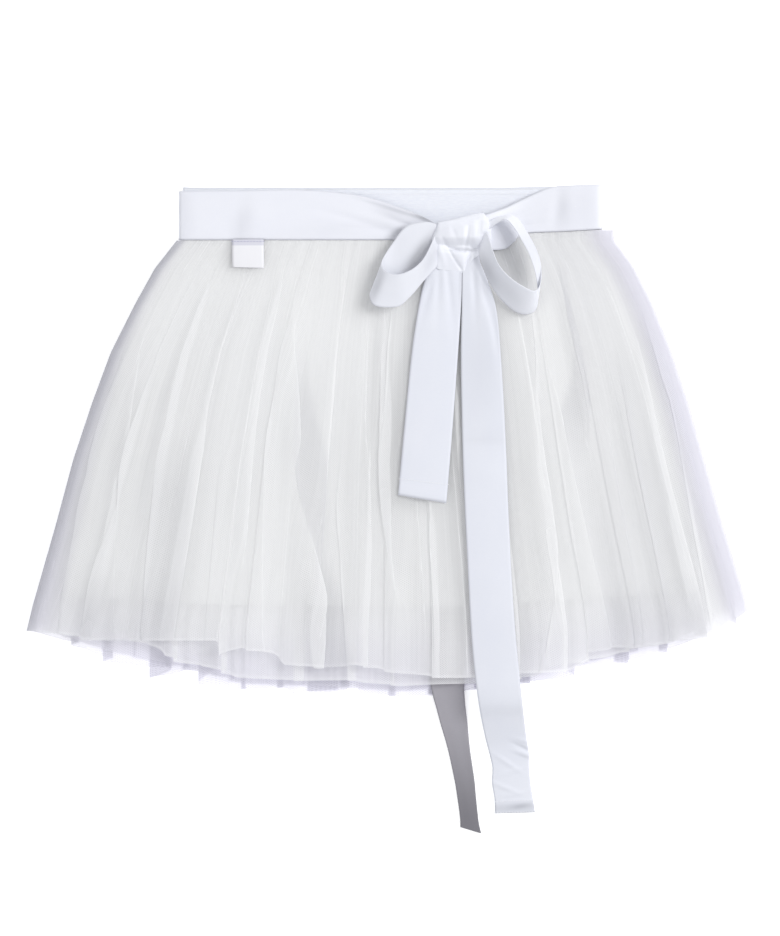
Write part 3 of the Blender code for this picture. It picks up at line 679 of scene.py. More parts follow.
# Lining, ribbon, waistband and label
LINING_CREAM = (0.965, 0.965, 0.96)
LINING_SLUB = (0.94, 0.94, 0.935)
LINING_COOL = (0.93, 0.935, 0.95)
LINING_PITCH = 0.0006
# How dark a ribbon's painted shade is, as a share of its darker colour
DEEP_SHARE = 0.55
RIB_PITCH = 0.0007
RIBBON_ROUGH = (0.43, 0.57)
BAND_WHITE = (0.86, 0.88, 0.93)
BAND_SHADE = (0.81, 0.83, 0.90)
BAND_GROOVE = (0.8, 0.81, 0.87)
BAND_RIB_PITCH = 0.0011
LABEL_WHITE = (0.87, 0.87, 0.90)
LABEL_SHADE = (0.76, 0.76, 0.83)
LABEL_STRIP = (0.62, 0.62, 0.72)
LABEL_SIZE = (0.026, 0.024)

# Stitches
THREAD_SHADE = 0.82
THREAD_RADIUS = 0.2
THREAD_LIFT = 0.32
STITCH_SIDES = 6
STITCH_TILT = 0.07
STITCH_SEED = 3
BAND_STITCHED = (-80.0, 136.0)
BAND_STITCH_DROPS = (1.6, 5.2)
BAND_STITCH_LEVEL = BAND_BACK_LEVEL + 0.66
TACKS = [(40.6, 250.2, 2.7), (92.3, 250.4, 2.7), (152.1, 247.6, 9.0)]

# Floor and light
FLOOR_HALF = 12.0
FLOOR_DROP = -0.0004
FLOOR_GLOW = 0.4
FLOOR_WHITE = (0.98, 0.98, 0.98)
FLOOR_GREY = (0.97, 0.97, 0.975)
SKY_COLOUR = (0.97, 0.98, 1.0)
SKY_STRENGTH = 0.58
KEY_POWER = 88.0
FILL_POWER = 12.0



def read(table, key, column, place):
    """The column's values where the key column is at place, between the rows on either side."""
    keys = [getattr(row, key) for row in table]
    values = [getattr(row, column) for row in table]
    return np.interp(place, keys, values)


def ease(share):
    """A smooth step from 0 to 1."""
    share = np.clip(share, 0.0, 1.0)
    return share * share * (3 - 2 * share)


def past(distance, change):
    """A smooth rise from 0 to its most, as the distance from an edge grows."""
    return change.most * ease((distance - change.start) / change.width)


def near(distance, change):
    """The most close to an edge, and a smooth fall to 0 away from it."""
    return change.most * (1 - ease((distance - change.start) / change.width))


def between(place, start, end, width):
    """1 between two places, with a smooth fall to 0 inside each of them over a width."""
    return ease((place - start) / width) * (1 - ease((place - end + width) / width))


def loft_at(across, down):
    """How far the front layers may rise at a place on the skirt."""
    side = 1 - np.abs(2 * np.clip(across, 0.0, 1.0) - 1) ** LOFT_EDGE_POWER
    return side * read(LOFT, "down", "rise", down)


def sides_at(y, inset):
    """The left and right edge of a layer's wall at a height in the frame."""
    left = read(SIDE_EDGES, "y", "left", y) + read(inset, "y", "left", y)
    right = read(SIDE_EDGES, "y", "right", y) - read(inset, "y", "right", y)
    return left + CLOTH_THICKNESS / 2, right - CLOTH_THICKNESS / 2


def seam_at(x):
    """The height in the frame of the waist seam."""
    return read(SEAM, "x", "y", x)


def place_at(across, down, hem, inset):
    """The place in plan of points on a layer, given shares across and down it."""
    margin = SIDE_TURN[0].inwards
    left, right = sides_at(SEAM_Y, inset)
    top = seam_at(left + margin + across * (right - left - 2 * margin)) - SEAM_GAP
    y = top + down * (read(hem, "across", "y", across) - top)
    left, right = sides_at(y, inset)
    return left + margin + across * (right - left - 2 * margin), y


def main_folds(folds, across):
    """The folds' rise, the gathers' rise and the lean at places across the front."""
    marks = np.array([0.0, *(fold.across for fold in folds), 1.0])
    heights = np.array([0.0, *(fold.height for fold in folds), 0.0])
    leans = np.array([folds[0].lean, *(fold.lean for fold in folds), folds[-1].lean])
    index = np.clip(np.searchsorted(marks, across, side="right") - 1, 0, len(marks) - 2)
    gap = marks[index + 1] - marks[index]
    share = (across - marks[index]) / gap
    height = heights[index] + share * (heights[index + 1] - heights[index])
    lean = leans[index] + share * (leans[index + 1] - leans[index])
    turn = 2 * math.pi * share
    first = index == 0
    last = index == len(marks) - 2
    at_edge = first | last
    edge_share = np.where(first, share, 1 - share)
    fold_rise = np.where(at_edge, height, height * (0.5 + 0.5 * np.cos(turn)))
    gather_rise = np.where(at_edge, edge_share, 0.5 + 0.5 * np.cos(GATHERS_PER_FOLD * turn))
    lean = np.where(at_edge, lean * edge_share, lean * np.cos(turn)) * gap
    return fold_rise, gather_rise, lean


def fine_pleats(layer, waist, count, generator):
    """Seeded small gathers from the waist, or long wrinkles down the cloth, all uneven."""
    pleats = []
    for place in np.linspace(0.01, 0.99, count):
        top = place + generator.uniform(-0.3, 0.3) / count
        side = generator.choice((-1.0, 1.0))
        if waist:
            width = generator.uniform(0.0035, 0.0085)
            overlap = generator.uniform(0.6, 2.6)
            rise = generator.uniform(0.2, 0.8) * side
            start = -0.1
            end = generator.uniform(0.04, 0.1) + generator.uniform(0.0, 0.5) ** 3
            hem = top + generator.uniform(-0.01, 0.01)
        else:
            width = generator.uniform(0.003, 0.011)
            overlap = generator.uniform(0.4, 2.6)
            rise = generator.uniform(0.08, 0.3) * side
            start = generator.uniform(-0.1, 0.6)
            end = start + generator.uniform(0.3, 1.2)
            hem = top + generator.uniform(-0.025, 0.025)
        pleats.append(Pleat(top, hem, width, overlap, rise, start, end))
    return pleats


def pleat_shift(pleats, across, down, width):
    """Sideways shift, rise and closeness of the cloth from a table of pleats."""
    sideways = np.zeros_like(across)
    rise = np.zeros_like(across)
    close = np.zeros_like(across)
    for pleat in pleats:
        centre = pleat.top + (pleat.hem - pleat.top) * down
        share = np.clip((across - centre) / pleat.width, -1.0, 1.0)
        hump = np.cos(math.pi / 2 * share) ** 2
        swing = np.sin(math.pi * share) * hump
        fade = between(down, pleat.start, pleat.end, PLEAT_FADE)
        sideways -= pleat.overlap * swing * fade * width / FULL_WIDTH
        rise -= pleat.rise * swing * fade
        close += hump * fade * min(pleat.overlap / CLOSEST_OVERLAP, 1.0)
    return sideways, rise, close


def row_shares(count):
    """Shares down a layer for its rows, closer together at the waist and at the hem."""
    even = np.linspace(0.0, 1.0, count)
    return np.interp(even, [0.0, 0.2, 0.82, 1.0], [0.0, 0.09, 0.9, 1.0])


def pleated_place(layer, hem, across, down, pleats, lean):
    """The cloth in plan with its pleats, its share across, their lift, its fade and closeness."""
    x, y = place_at(across, down, hem, layer.inset)
    left, right = sides_at(y, layer.inset)
    width = right - left
    sideways, lift, close = pleat_shift(pleats, across, down, width)
    inner = ease(across / SIDE_FADE) * ease((1 - across) / SIDE_FADE)
    x = np.clip(x + lean * width + sideways * inner, left + SIDE_ROOM, right - SIDE_ROOM)
    return x, y, (x - left) / width, lift, inner, close


def front_sheet(layer, across, down, pleats):
    """Points of the front wall, and how closely its cloth is folded."""
    gathers = read(GATHER_FADE, "down", "share", down)
    fold_rise, gather_rise, lean = main_folds(layer.folds, across)
    lean = (1 - gathers) * lean
    place = pleated_place(layer, layer.front_hem, across, down, pleats, lean)
    x, y, share, lift, inner, close = place
    loft = loft_at(share, down)
    rise = gathers * gather_rise + (1 - gathers) * fold_rise
    rise = 1 - TROUGH_DEPTH * (1 - rise)
    span = layer.low_share + (layer.high_share - layer.low_share) * rise
    z = layer.front_level + span * loft + lift * LAP_ROOM * inner
    lowest = layer.front_level + layer.low_share * loft * 0.9 - LEVEL_ROOM
    highest = layer.front_level + max(layer.high_share, 0.06) * loft + LEVEL_ROOM
    z = np.clip(z, lowest, highest) - layer.tuck * np.exp(-down / TUCK_REACH)
    return x, y, z, close


def back_sheet(layer, across, down, pleats):
    """Points of the back wall, which lies flat, and how closely its cloth is folded."""
    x, y, _, lift, inner, close = pleated_place(layer, layer.back_hem, across, down, pleats, 0.0)
    return x, y, layer.back_level + np.clip(lift, *BACK_LIFT) * inner, close


def side_turn(layer, down, across, side):
    """The side of a tube from back to front; side is -1 for left and 1 for right."""
    x, y = place_at(np.full_like(down, across), down, layer.front_hem, layer.inset)
    edge = x + side * SIDE_TURN[0].inwards
    height = layer.front_level - layer.back_level
    inwards = np.array([turn.inwards for turn in SIDE_TURN[:-1]])
    up = np.array([turn.up for turn in SIDE_TURN[:-1]])
    shape = (down.shape[0], len(up))
    return (
        edge - side * inwards,
        np.broadcast_to(y, shape),
        np.broadcast_to(layer.back_level + up * height, shape),
        np.zeros(shape),
    )


def tube_of(layer):
    """Rows of points round a layer, and how closely the cloth is folded at each."""
    generator = np.random.default_rng(layer.seed)
    fine = fine_pleats(layer, True, layer.gathers, generator)
    fine += fine_pleats(layer, False, layer.wrinkles, generator)
    back_fine = fine_pleats(layer, True, layer.gathers, generator)
    down = row_shares(layer.rows)[:, None]
    across = np.linspace(0.0, 1.0, layer.columns)[None, :] + 0 * down
    back = np.linspace(1.0, 0.0, layer.back_columns)[None, 1:-1] + 0 * down
    front = front_sheet(layer, across, down + 0 * across, layer.pleats + fine)
    behind = back_sheet(layer, back, down + 0 * back, layer.back_pleats + back_fine)
    left = side_turn(layer, down, 0.0, -1)
    right = [part[:, ::-1] for part in side_turn(layer, down, 1.0, 1)]
    parts = [np.concatenate(group, axis=1) for group in zip(left, front, right, behind)]
    edge = np.full((layer.rows, left[0].shape[1]), ON_SIDE)
    place = np.concatenate([edge, across, edge, back + ON_BACK], axis=1)
    return np.stack(parts[:3], axis=2), parts[3], down, place


def smooth_rows(sections, extra):
    """Rows of numbers through the sections, on a smooth curve, with extra rows between them."""
    rows = [np.array(section, float) for section in sections]
    result = []
    for index in range(len(rows) - 1):
        before = rows[max(index - 1, 0)]
        start, end = rows[index], rows[index + 1]
        after = rows[min(index + 2, len(rows) - 1)]
        for step in range(extra + 1):
            t = step / (extra + 1)
            result.append(
                0.5
                * (
                    2 * start
                    + (end - before) * t
                    + (2 * before - 5 * start + 4 * end - after) * t**2
                    + (3 * start - before - 3 * end + after) * t**3
                )
            )
    result.append(rows[-1])
    return np.array(result)


def cloth_top(x, y):
    """The level of the outer tulle's crests over a place in plan."""
    left, right = sides_at(y, NO_INSET)
    across = np.clip((x - left) / (right - left), 0.0, 1.0)
    seam = seam_at(x) - SEAM_GAP
    hem = read(OUTER_FRONT_HEM, "across", "y", across)
    down = np.clip((seam - y) / (seam - hem), 0.0, 1.0)
    return TULLE_OUTER.front_level + loft_at(across, down) + CLOTH_THICKNESS / 2


def resting_sections(table):
    """Sections of a ribbon end that rests on the cloth's crests, or at the level of its row."""
    sections = []
    for row in table:
        level = row.level
        if level is None:
            xs = np.linspace(row.ax, row.bx, REST_SAMPLES)
            ys = np.linspace(row.ay, row.by, REST_SAMPLES)
            level = float(np.max(cloth_top(xs, ys))) + REST_GAP
        sections.append(Section(row.ax, row.ay, level, row.bx, row.by, level))
    return sections


def ribbon_points(sections, spans):
    """A grid of points between a ribbon's edges, one row for each section."""
    start = np.maximum(sections[:, None, 0:3], (-1e9, -1e9, FLOOR_LEVEL))
    end = np.maximum(sections[:, None, 3:6], (-1e9, -1e9, FLOOR_LEVEL))
    share = np.linspace(0.0, 1.0, spans + 1)[None, :, None]
    return start + (end - start) * share


def bump_at(points, mark):
    """A soft round or long hump in plan, 1 in its middle, where a dent or a spot lies."""
    turn = math.radians(mark.turn)
    dx = points[..., 0] - mark.x
    dy = points[..., 1] - mark.y
    along = (dx * math.cos(turn) + dy * math.sin(turn)) / mark.long
    wide = (dy * math.cos(turn) - dx * math.sin(turn)) / mark.wide
    return np.exp(-(along**2) - wide**2)


def press(points, dents):
    """The points with soft dents and swells added, none below a ribbon's lowest level."""
    for dent in dents:
        points[..., 2] += dent.height * bump_at(points, dent)
    points[..., 2] = np.maximum(points[..., 2], RIBBON_LOWEST)
    return points


def darkness(points, spots):
    """How much the spots cover each point: the painted shade on a ribbon, the thicker gathers on the
    net.
    """
    along = np.linspace(0.0, 1.0, points.shape[0])[:, None]
    total = np.zeros(points.shape[:2])
    for spot in spots:
        here = (along >= spot.first) & (along <= spot.last)
        total += spot.dark * bump_at(points, spot) * here
    return np.clip(total, 0.0, 1.0)


def lengths_of(points):
    """Length along the middle of a grid's rows, and the width of each row, in metres."""
    middle = points[:, points.shape[1] // 2]
    steps = np.linalg.norm(np.diff(middle, axis=0), axis=1)
    along = np.concatenate([[0.0], np.cumsum(steps)]) * MM
    return along, np.linalg.norm(points[:, -1] - points[:, 0], axis=1) * MM


def put(name, data):
    """A new object in the scene, at the origin."""
    obj = bpy.data.objects.new(name, data)
    bpy.context.scene.collection.objects.link(obj)
    return obj


def grid_object(name, points, closed, across, along, material, marks=None, smooth=True):
    """An object of quads over a grid of points, with a UV map in metres and marks."""
    rows_count, columns = points.shape[:2]
    spans = columns if closed else columns - 1
    row = np.arange(rows_count - 1)[:, None] * columns
    column = np.arange(spans)[None, :]
    after = (column + 1) % columns
    below = row + columns
    corners = np.stack([row + column, below + column, below + after, row + after], axis=2)
    mesh = bpy.data.meshes.new(name)
    vertices = (points.reshape(-1, 3) * MM).tolist()
    mesh.from_pydata(vertices, [], corners.reshape(-1, 4).tolist())
    shape = (rows_count, spans + 1)
    uv = np.stack([np.broadcast_to(across, shape), np.broadcast_to(along, shape)], axis=2)
    quads = np.stack([uv[:-1, :-1], uv[1:, :-1], uv[1:, 1:], uv[:-1, 1:]], axis=2)
    mesh.uv_layers.new(name="cloth").uv.foreach_set("vector", quads.ravel().astype(np.float32))
    for mark, values in (marks or {}).items():
        attribute = mesh.attributes.new(mark, "FLOAT", "POINT")
        attribute.data.foreach_set("value", np.ascontiguousarray(values, np.float32).ravel())
    mesh.materials.append(material)
    if smooth:
        mesh.shade_smooth()
    return put(name, mesh)


def thicken(obj, thickness):
    """A wall of the given thickness to both sides of a sheet."""
    wall = obj.modifiers.new("thickness", "SOLIDIFY")
    wall.thickness = thickness * MM
    wall.offset = 0.0
    return obj


# Materials


def new_material(name):
    """A material with its node tree and its Principled shader."""
    material = bpy.data.materials.new(name)
    material.use_nodes = True
    tree = material.node_tree
    return material, tree, tree.nodes["Principled BSDF"]


def join(source, socket):
    """Links an output to a socket, or sets the socket to a number or a colour."""
    if isinstance(source, bpy.types.NodeSocket):
        socket.id_data.links.new(source, socket)
    elif isinstance(source, tuple):
        socket.default_value = (*source, 1.0)
    else:
        socket.default_value = source


def set_inputs(node, values):
    """Joins a node's inputs, by name, to outputs, numbers or colours."""
    for name, value in values.items():
        join(value, node.inputs[name])


def math_of(operation, *values):
    """The output of a Math node; the first value is another node's output."""
    made = values[0].id_data.nodes.new("ShaderNodeMath")
    made.operation = operation
    for value, socket in zip(values, made.inputs):
        join(value, socket)
    return made.outputs[0]


def ranged(value, low, high, to_low, to_high):
    """The output of a Map Range node, held within its ends."""
    made = value.id_data.nodes.new("ShaderNodeMapRange")
    ends = {"From Min": low, "From Max": high, "To Min": to_low, "To Max": to_high}
    set_inputs(made, {"Value": value, **ends})
    return made.outputs["Result"]


def mark_of(tree, name):
    """A number stored on the mesh."""
    made = tree.nodes.new("ShaderNodeAttribute")
    made.attribute_name = name
    return made.outputs["Fac"]


def uv_parts(tree):
    """The UV map's across and along, in metres."""
    uv = tree.nodes.new("ShaderNodeUVMap")
    uv.uv_map = "cloth"
    parts = tree.nodes.new("ShaderNodeSeparateXYZ")
    tree.links.new(uv.outputs[0], parts.inputs[0])
    return uv.outputs[0], parts.outputs[0], parts.outputs[1]


def stretched_noise(vector, across, along, detail, seed):
    """Noise with its own pitch across and along the cloth."""
    tree = vector.id_data
    mapping = tree.nodes.new("ShaderNodeMapping")
    mapping.inputs["Scale"].default_value = (across, along, 1.0)
    mapping.inputs["Location"].default_value = (seed, seed * 0.7, seed)
    join(vector, mapping.inputs["Vector"])
    noise = tree.nodes.new("ShaderNodeTexNoise")
    set_inputs(noise, {"Vector": mapping.outputs[0], "Scale": 1.0, "Detail": detail})
    return noise.outputs["Fac"]


def thread_lines(value, pitch):
    """Rounded threads side by side at a pitch in metres, from 0 between them to 1 on them."""
    turns = math_of("MULTIPLY", value, 2 * math.pi / pitch)
    return math_of("MULTIPLY_ADD", math_of("SINE", turns), 0.5, 0.5)


def weave_of(across, along, across_pitch, along_pitch):
    """Threads both ways, over and under each other."""
    return math_of("MULTIPLY", thread_lines(across, across_pitch), thread_lines(along, along_pitch))


def colour_mix(share, first, second):
    """A blend of two colours; either may be an output."""
    made = share.id_data.nodes.new("ShaderNodeMix")
    made.data_type = "RGBA"
    join(share, made.inputs["Factor"])
    join(first, made.inputs[6])
    join(second, made.inputs[7])
    return made.outputs[2]


def bump(shader, height, distance, strength):
    """Fine relief on a shader, with the height's full size in metres."""
    made = height.id_data.nodes.new("ShaderNodeBump")
    set_inputs(made, {"Strength": strength, "Distance": distance, "Height": height})
    join(made.outputs[0], shader.inputs["Normal"])


def shader_mix(share, first, second):
    """A blend of two shaders' outputs."""
    made = first.id_data.nodes.new("ShaderNodeMixShader")
    for source, socket in zip((share, first, second), made.inputs):
        join(source, socket)
    return made.outputs[0]


def net_material(name, cover, seed):
    """Soft nylon net, see-through between its threads, denser where gathered or doubled, with
    painted shade.
    """
    material, tree, shader = new_material(name)
    vector, across, along = uv_parts(tree)
    close = mark_of(tree, "close")
    fold = mark_of(tree, "fold")
    rising = thread_lines(math_of("ADD", across, along), NET_PITCH)
    falling = thread_lines(math_of("SUBTRACT", across, along), NET_PITCH)
    holes = ranged(math_of("MAXIMUM", rising, falling), 0.35, 0.95, 0.82, 1.14)
    streaks = stretched_noise(vector, 300.0, 4.0, 3.0, seed)
    bands = stretched_noise(vector, 46.0, 1.6, 2.0, seed + 3.0)
    open_cover = ranged(streaks, 0.32, 0.68, cover - NET_STREAKS, cover + NET_STREAKS)
    band_cover = ranged(bands, 0.3, 0.7, -NET_BANDS, NET_BANDS)
    dense = math_of("MULTIPLY_ADD", close, CLOSE_COVER, math_of("MULTIPLY", fold, FOLD_COVER))
    total = math_of("ADD", math_of("ADD", open_cover, band_cover), dense)
    alpha = ranged(math_of("MULTIPLY", total, holes), 0.0, 1.0, 0.0, 1.0)
    folded = math_of("MAXIMUM", ranged(close, 0.0, 1.0, 0.0, 0.5), fold)
    colour = colour_mix(folded, NET_WHITE, NET_FOLDED)
    for mark, tint in NET_TINTS.items():
        colour = colour_mix(mark_of(tree, mark), colour, tint)
    set_inputs(shader, {"Base Color": colour, "Roughness": 0.75, "Specular IOR Level": 0.2})
    glow = tree.nodes.new("ShaderNodeBsdfTranslucent")
    join(colour, glow.inputs["Color"])
    clear = tree.nodes.new("ShaderNodeBsdfTransparent")
    fibre = shader_mix(NET_GLOW, shader.outputs[0], glow.outputs[0])
    net = shader_mix(alpha, clear.outputs[0], fibre)
    join(net, tree.nodes["Material Output"].inputs["Surface"])
    return material


def lining_material():
    """Cream lining satin with a fine weave and faint slubs across it."""
    material, tree, shader = new_material("lining_satin")
    vector, across, along = uv_parts(tree)
    slubs = ranged(stretched_noise(vector, 30.0, 260.0, 3.0, 5.0), 0.3, 0.7, 0.0, 1.0)
    patches = ranged(stretched_noise(vector, 9.0, 7.0, 2.0, 8.0), 0.35, 0.65, 0.0, 0.35)
    colour = colour_mix(slubs, LINING_CREAM, LINING_SLUB)
    colour = colour_mix(patches, colour, LINING_COOL)
    bump(shader, weave_of(across, along, LINING_PITCH, LINING_PITCH), 0.00008, 0.6)
    set_inputs(shader, {"Base Color": colour, "Roughness": 0.5, "Sheen Weight": 0.2})
    return material


def ribbon_material(name, colour, shade):
    """Satin ribbon: fine ribs across it, soft uneven sheen, a woven edge and painted shade at its
    spots.
    """
    material, tree, shader = new_material(name)
    vector, _, along = uv_parts(tree)
    cloudy = stretched_noise(vector, 40.0, 22.0, 3.0, 2.0)
    fine = stretched_noise(vector, 240.0, 1500.0, 2.0, 4.0)
    edge = mark_of(tree, "edge")
    base = colour_mix(ranged(cloudy, 0.3, 0.7, 0.0, 0.55), colour, shade)
    base = colour_mix(ranged(fine, 0.3, 0.75, 0.0, 0.3), base, shade)
    base = colour_mix(math_of("MULTIPLY", edge, 0.35), base, shade)
    # The colour of the painted shade, blended in where the spots lie
    deep_shade = tuple(value * DEEP_SHARE for value in shade)
    ribs = math_of("MULTIPLY", thread_lines(along, RIB_PITCH), 0.5)
    bump(shader, math_of("ADD", ribs, math_of("MULTIPLY", edge, 0.8)), 0.00012, 0.7)
    set_inputs(
        shader,
        {
            "Base Color": colour_mix(mark_of(tree, "painted_shade"), base, deep_shade),
            "Roughness": ranged(fine, 0.2, 0.8, *RIBBON_ROUGH),
            "Sheen Weight": 0.25,
            "Sheen Roughness": 0.4,
            "Specular IOR Level": 0.45,
        },
    )
    return material


def band_material():
    """The waistband's ribbed elastic, white, with lengthwise ribs."""
    material, tree, shader = new_material("band_rib")
    vector, across, _ = uv_parts(tree)
    ribs = thread_lines(across, BAND_RIB_PITCH)
    fine = ranged(stretched_noise(vector, 900.0, 160.0, 2.0, 6.0), 0.3, 0.7, 0.0, 1.0)
    colour = colour_mix(fine, BAND_WHITE, BAND_SHADE)
    colour = colour_mix(math_of("MULTIPLY", ribs, 0.12), colour, BAND_GROOVE)
    bump(shader, ribs, 0.00015, 0.6)
    set_inputs(shader, {"Base Color": colour, "Roughness": 0.6, "Sheen Weight": 0.15})
    return material


def label_material():
    """A blank woven label, with fine threads both ways and a darker strip at its seam."""
    material, tree, shader = new_material("label_weave")
    _, across, along = uv_parts(tree)
    weave = weave_of(across, along, 0.0005, 0.0007)
    strip = ranged(along, 0.0048, 0.0056, 1.0, 0.0)
    colour = colour_mix(math_of("MULTIPLY", weave, 0.2), LABEL_WHITE, LABEL_SHADE)
    colour = colour_mix(math_of("MULTIPLY", strip, 0.7), colour, LABEL_STRIP)
    bump(shader, weave, 0.0001, 0.7)
    set_inputs(shader, {"Base Color": colour, "Roughness": 0.45})
    return material


def mottled_material(name, scale, first, second, values):
    """A plain finish whose colour changes a little all through it."""
    material, tree, shader = new_material(name)
    place = tree.nodes.new("ShaderNodeTexCoord")
    noise = tree.nodes.new("ShaderNodeTexNoise")
    set_inputs(noise, {"Vector": place.outputs["Object"], "Scale": scale})
    colour = colour_mix(noise.outputs["Fac"], first, second)
    set_inputs(shader, {"Base Color": colour, **values})
    return material


def thread_material(name, colour):
    """Sewing thread with its twist."""
    darker = tuple(value * THREAD_SHADE for value in colour)
    return mottled_material(name, 3000.0, colour, darker, {"Roughness": 0.5})


def floor_material():
    """The plain pale surface under the skirt."""
    glow = {"Emission Color": (1.0, 1.0, 1.0), "Emission Strength": FLOOR_GLOW}
    return mottled_material("pale_floor", 2.0, FLOOR_WHITE, FLOOR_GREY, {"Roughness": 0.9, **glow})


# Stitches


def stitch_tree():
    """Geometry nodes that lay a stitch at each step along a path."""
    tree = bpy.data.node_groups.new("stitches", "GeometryNodeTree")
    number = "NodeSocketFloat"
    for name, kind in (
        ("Geometry", "NodeSocketGeometry"),
        ("Spacing", number),
        ("Stitch length", number),
        ("Thread radius", number),
        ("Unevenness", number),
        ("Seed", "NodeSocketInt"),
        ("Thread", "NodeSocketMaterial"),
    ):
        tree.interface.new_socket(name, in_out="INPUT", socket_type=kind)
    tree.interface.new_socket("Geometry", in_out="OUTPUT", socket_type="NodeSocketGeometry")
    start = tree.nodes.new("NodeGroupInput")
    end = tree.nodes.new("NodeGroupOutput")
    path = tree.nodes.new("GeometryNodeMeshToCurve")
    steps = tree.nodes.new("GeometryNodeResampleCurve")
    steps.mode = "LENGTH"
    tangent = tree.nodes.new("GeometryNodeInputTangent")
    turn = tree.nodes.new("FunctionNodeAlignRotationToVector")
    turn.axis = "Z"
    wobble = tree.nodes.new("FunctionNodeRandomValue")
    wobble.data_type = "FLOAT_VECTOR"
    tilt = tree.nodes.new("FunctionNodeEulerToRotation")
    rotate = tree.nodes.new("FunctionNodeRotateRotation")
    stitch = tree.nodes.new("GeometryNodeMeshCylinder")
    place = tree.nodes.new("GeometryNodeInstanceOnPoints")
    real = tree.nodes.new("GeometryNodeRealizeInstances")
    finish = tree.nodes.new("GeometryNodeSetMaterial")
    uneven = start.outputs["Unevenness"]
    for source, target in (
        (start.outputs["Geometry"], path.inputs["Mesh"]),
        (path.outputs[0], steps.inputs["Curve"]),
        (start.outputs["Spacing"], steps.inputs["Length"]),
        (steps.outputs[0], place.inputs["Points"]),
        (tangent.outputs[0], turn.inputs["Vector"]),
        (math_of("MULTIPLY", uneven, -1.0), wobble.inputs["Min"]),
        (uneven, wobble.inputs["Max"]),
        (start.outputs["Seed"], wobble.inputs["Seed"]),
        (wobble.outputs[0], tilt.inputs[0]),
        (turn.outputs[0], rotate.inputs[0]),
        (tilt.outputs[0], rotate.inputs[1]),
        (rotate.outputs[0], place.inputs["Rotation"]),
        (STITCH_SIDES, stitch.inputs["Vertices"]),
        (start.outputs["Thread radius"], stitch.inputs["Radius"]),
        (start.outputs["Stitch length"], stitch.inputs["Depth"]),
        (stitch.outputs["Mesh"], place.inputs["Instance"]),
        (place.outputs[0], real.inputs[0]),
        (real.outputs[0], finish.inputs["Geometry"]),
        (start.outputs["Thread"], finish.inputs["Material"]),
        (finish.outputs[0], end.inputs[0]),
    ):
        join(source, target)
    return tree


def stitch_run(name, paths, tree, spacing, length, thread):
    """Stitches along paths of points in millimetres, as one plain mesh."""
    vertices, edges = [], []
    for path in paths:
        first = len(vertices)
        vertices += [tuple(value * MM for value in point) for point in path]
        edges += [(first + step, first + step + 1) for step in range(len(path) - 1)]
    mesh = bpy.data.meshes.new(name + "_path")
    mesh.from_pydata(vertices, edges, [])
    carrier = put(name + "_path", mesh)
    modifier = carrier.modifiers.new("stitches", "NODES")
    modifier.node_group = tree
    values = {
        "Spacing": spacing * MM,
        "Stitch length": length * MM,
        "Thread radius": THREAD_RADIUS * MM,
        "Unevenness": STITCH_TILT,
        "Seed": STITCH_SEED,
        "Thread": thread,
    }
    for item in tree.interface.items_tree:
        if item.item_type == "SOCKET" and item.in_out == "INPUT" and item.name in values:
            modifier[item.identifier] = values[item.name]
    depsgraph = bpy.context.evaluated_depsgraph_get()
    made = bpy.data.meshes.new_from_object(carrier.evaluated_get(depsgraph))
    made.name = name
    bpy.data.objects.remove(carrier)
    return put(name, made)


# Pieces


def net_marks(points, across, down, strips):
    """Where the net has painted grey, lilac and deep shade, and how much denser it is at its sides.
    """
    x, y = points[..., 0], points[..., 1]
    is_back = across < ON_SIDE
    left, right = sides_at(y, LINING_INSET)
    hem = read(LINING_HEM, "across", "y", np.clip((x - left) / (right - left), 0, 1))
    lilac_shade = [past(left - x, PAST_LEFT), past(x - right, PAST_RIGHT), past(hem - y, PAST_HEM)]
    behind = BACK_LILAC + past(hem - y, BACK_PAST_HEM)
    shade = np.zeros_like(x)
    for strip in strips:
        centre = strip.top + (strip.hem - strip.top) * down
        side = ease((strip.wide - np.abs(across - centre)) / (strip.wide * strip.soft))
        shade = shade + strip.shade * side * between(down, strip.start, strip.end, STRIP_FADE)
    left, right = sides_at(y, NO_INSET)
    lilac_shade = np.max([*lilac_shade, near(right - x, EDGE_LILAC)], axis=0)
    dense = near(x - left, EDGE_DENSE_LEFT) + near(right - x, EDGE_DENSE_RIGHT)
    marks = {
        "shade": np.clip(np.where(is_back, 0.0, shade), 0.0, 1.0),
        "lilac_shade": np.clip(np.where(is_back, behind, lilac_shade), 0.0, 1.0),
        "deep_shade": near(x - left, EDGE_DEEP),
    }
    return marks, dense + BACK_DENSE * is_back


def fold_lines(points, place):
    """Where the cloth turns over itself, seen from above, and at the front's hem."""
    step = np.roll(points[..., 0], -1, axis=1) - points[..., 0]
    even = np.abs(np.median(step, axis=1, keepdims=True))
    lines = FOLD_LINE * np.clip(1 - np.abs(step) / even, 0.0, 1.0) ** 3
    lines[-1] = HEM_LINE * (place[-1] > ON_SIDE / 2)
    return lines


def add_layer(layer, material):
    """A tube of cloth from the waist seam, flattened as it lies."""
    points, close, down, place = tube_of(layer)
    across = np.linspace(0.0, layer.cut_width, points.shape[1] + 1)[None, :]
    marks, dense = net_marks(points, place, down, layer.strips)
    marks["close"] = np.clip(close, 0.0, 1.0) + dense + NET_THICK_GAIN * darkness(points, NET_THICK)
    marks["fold"] = fold_lines(points, place)
    along = down * layer.cut_length
    smooth = layer is LINING
    return grid_object(layer.name, points, True, across, along, material, marks, smooth)


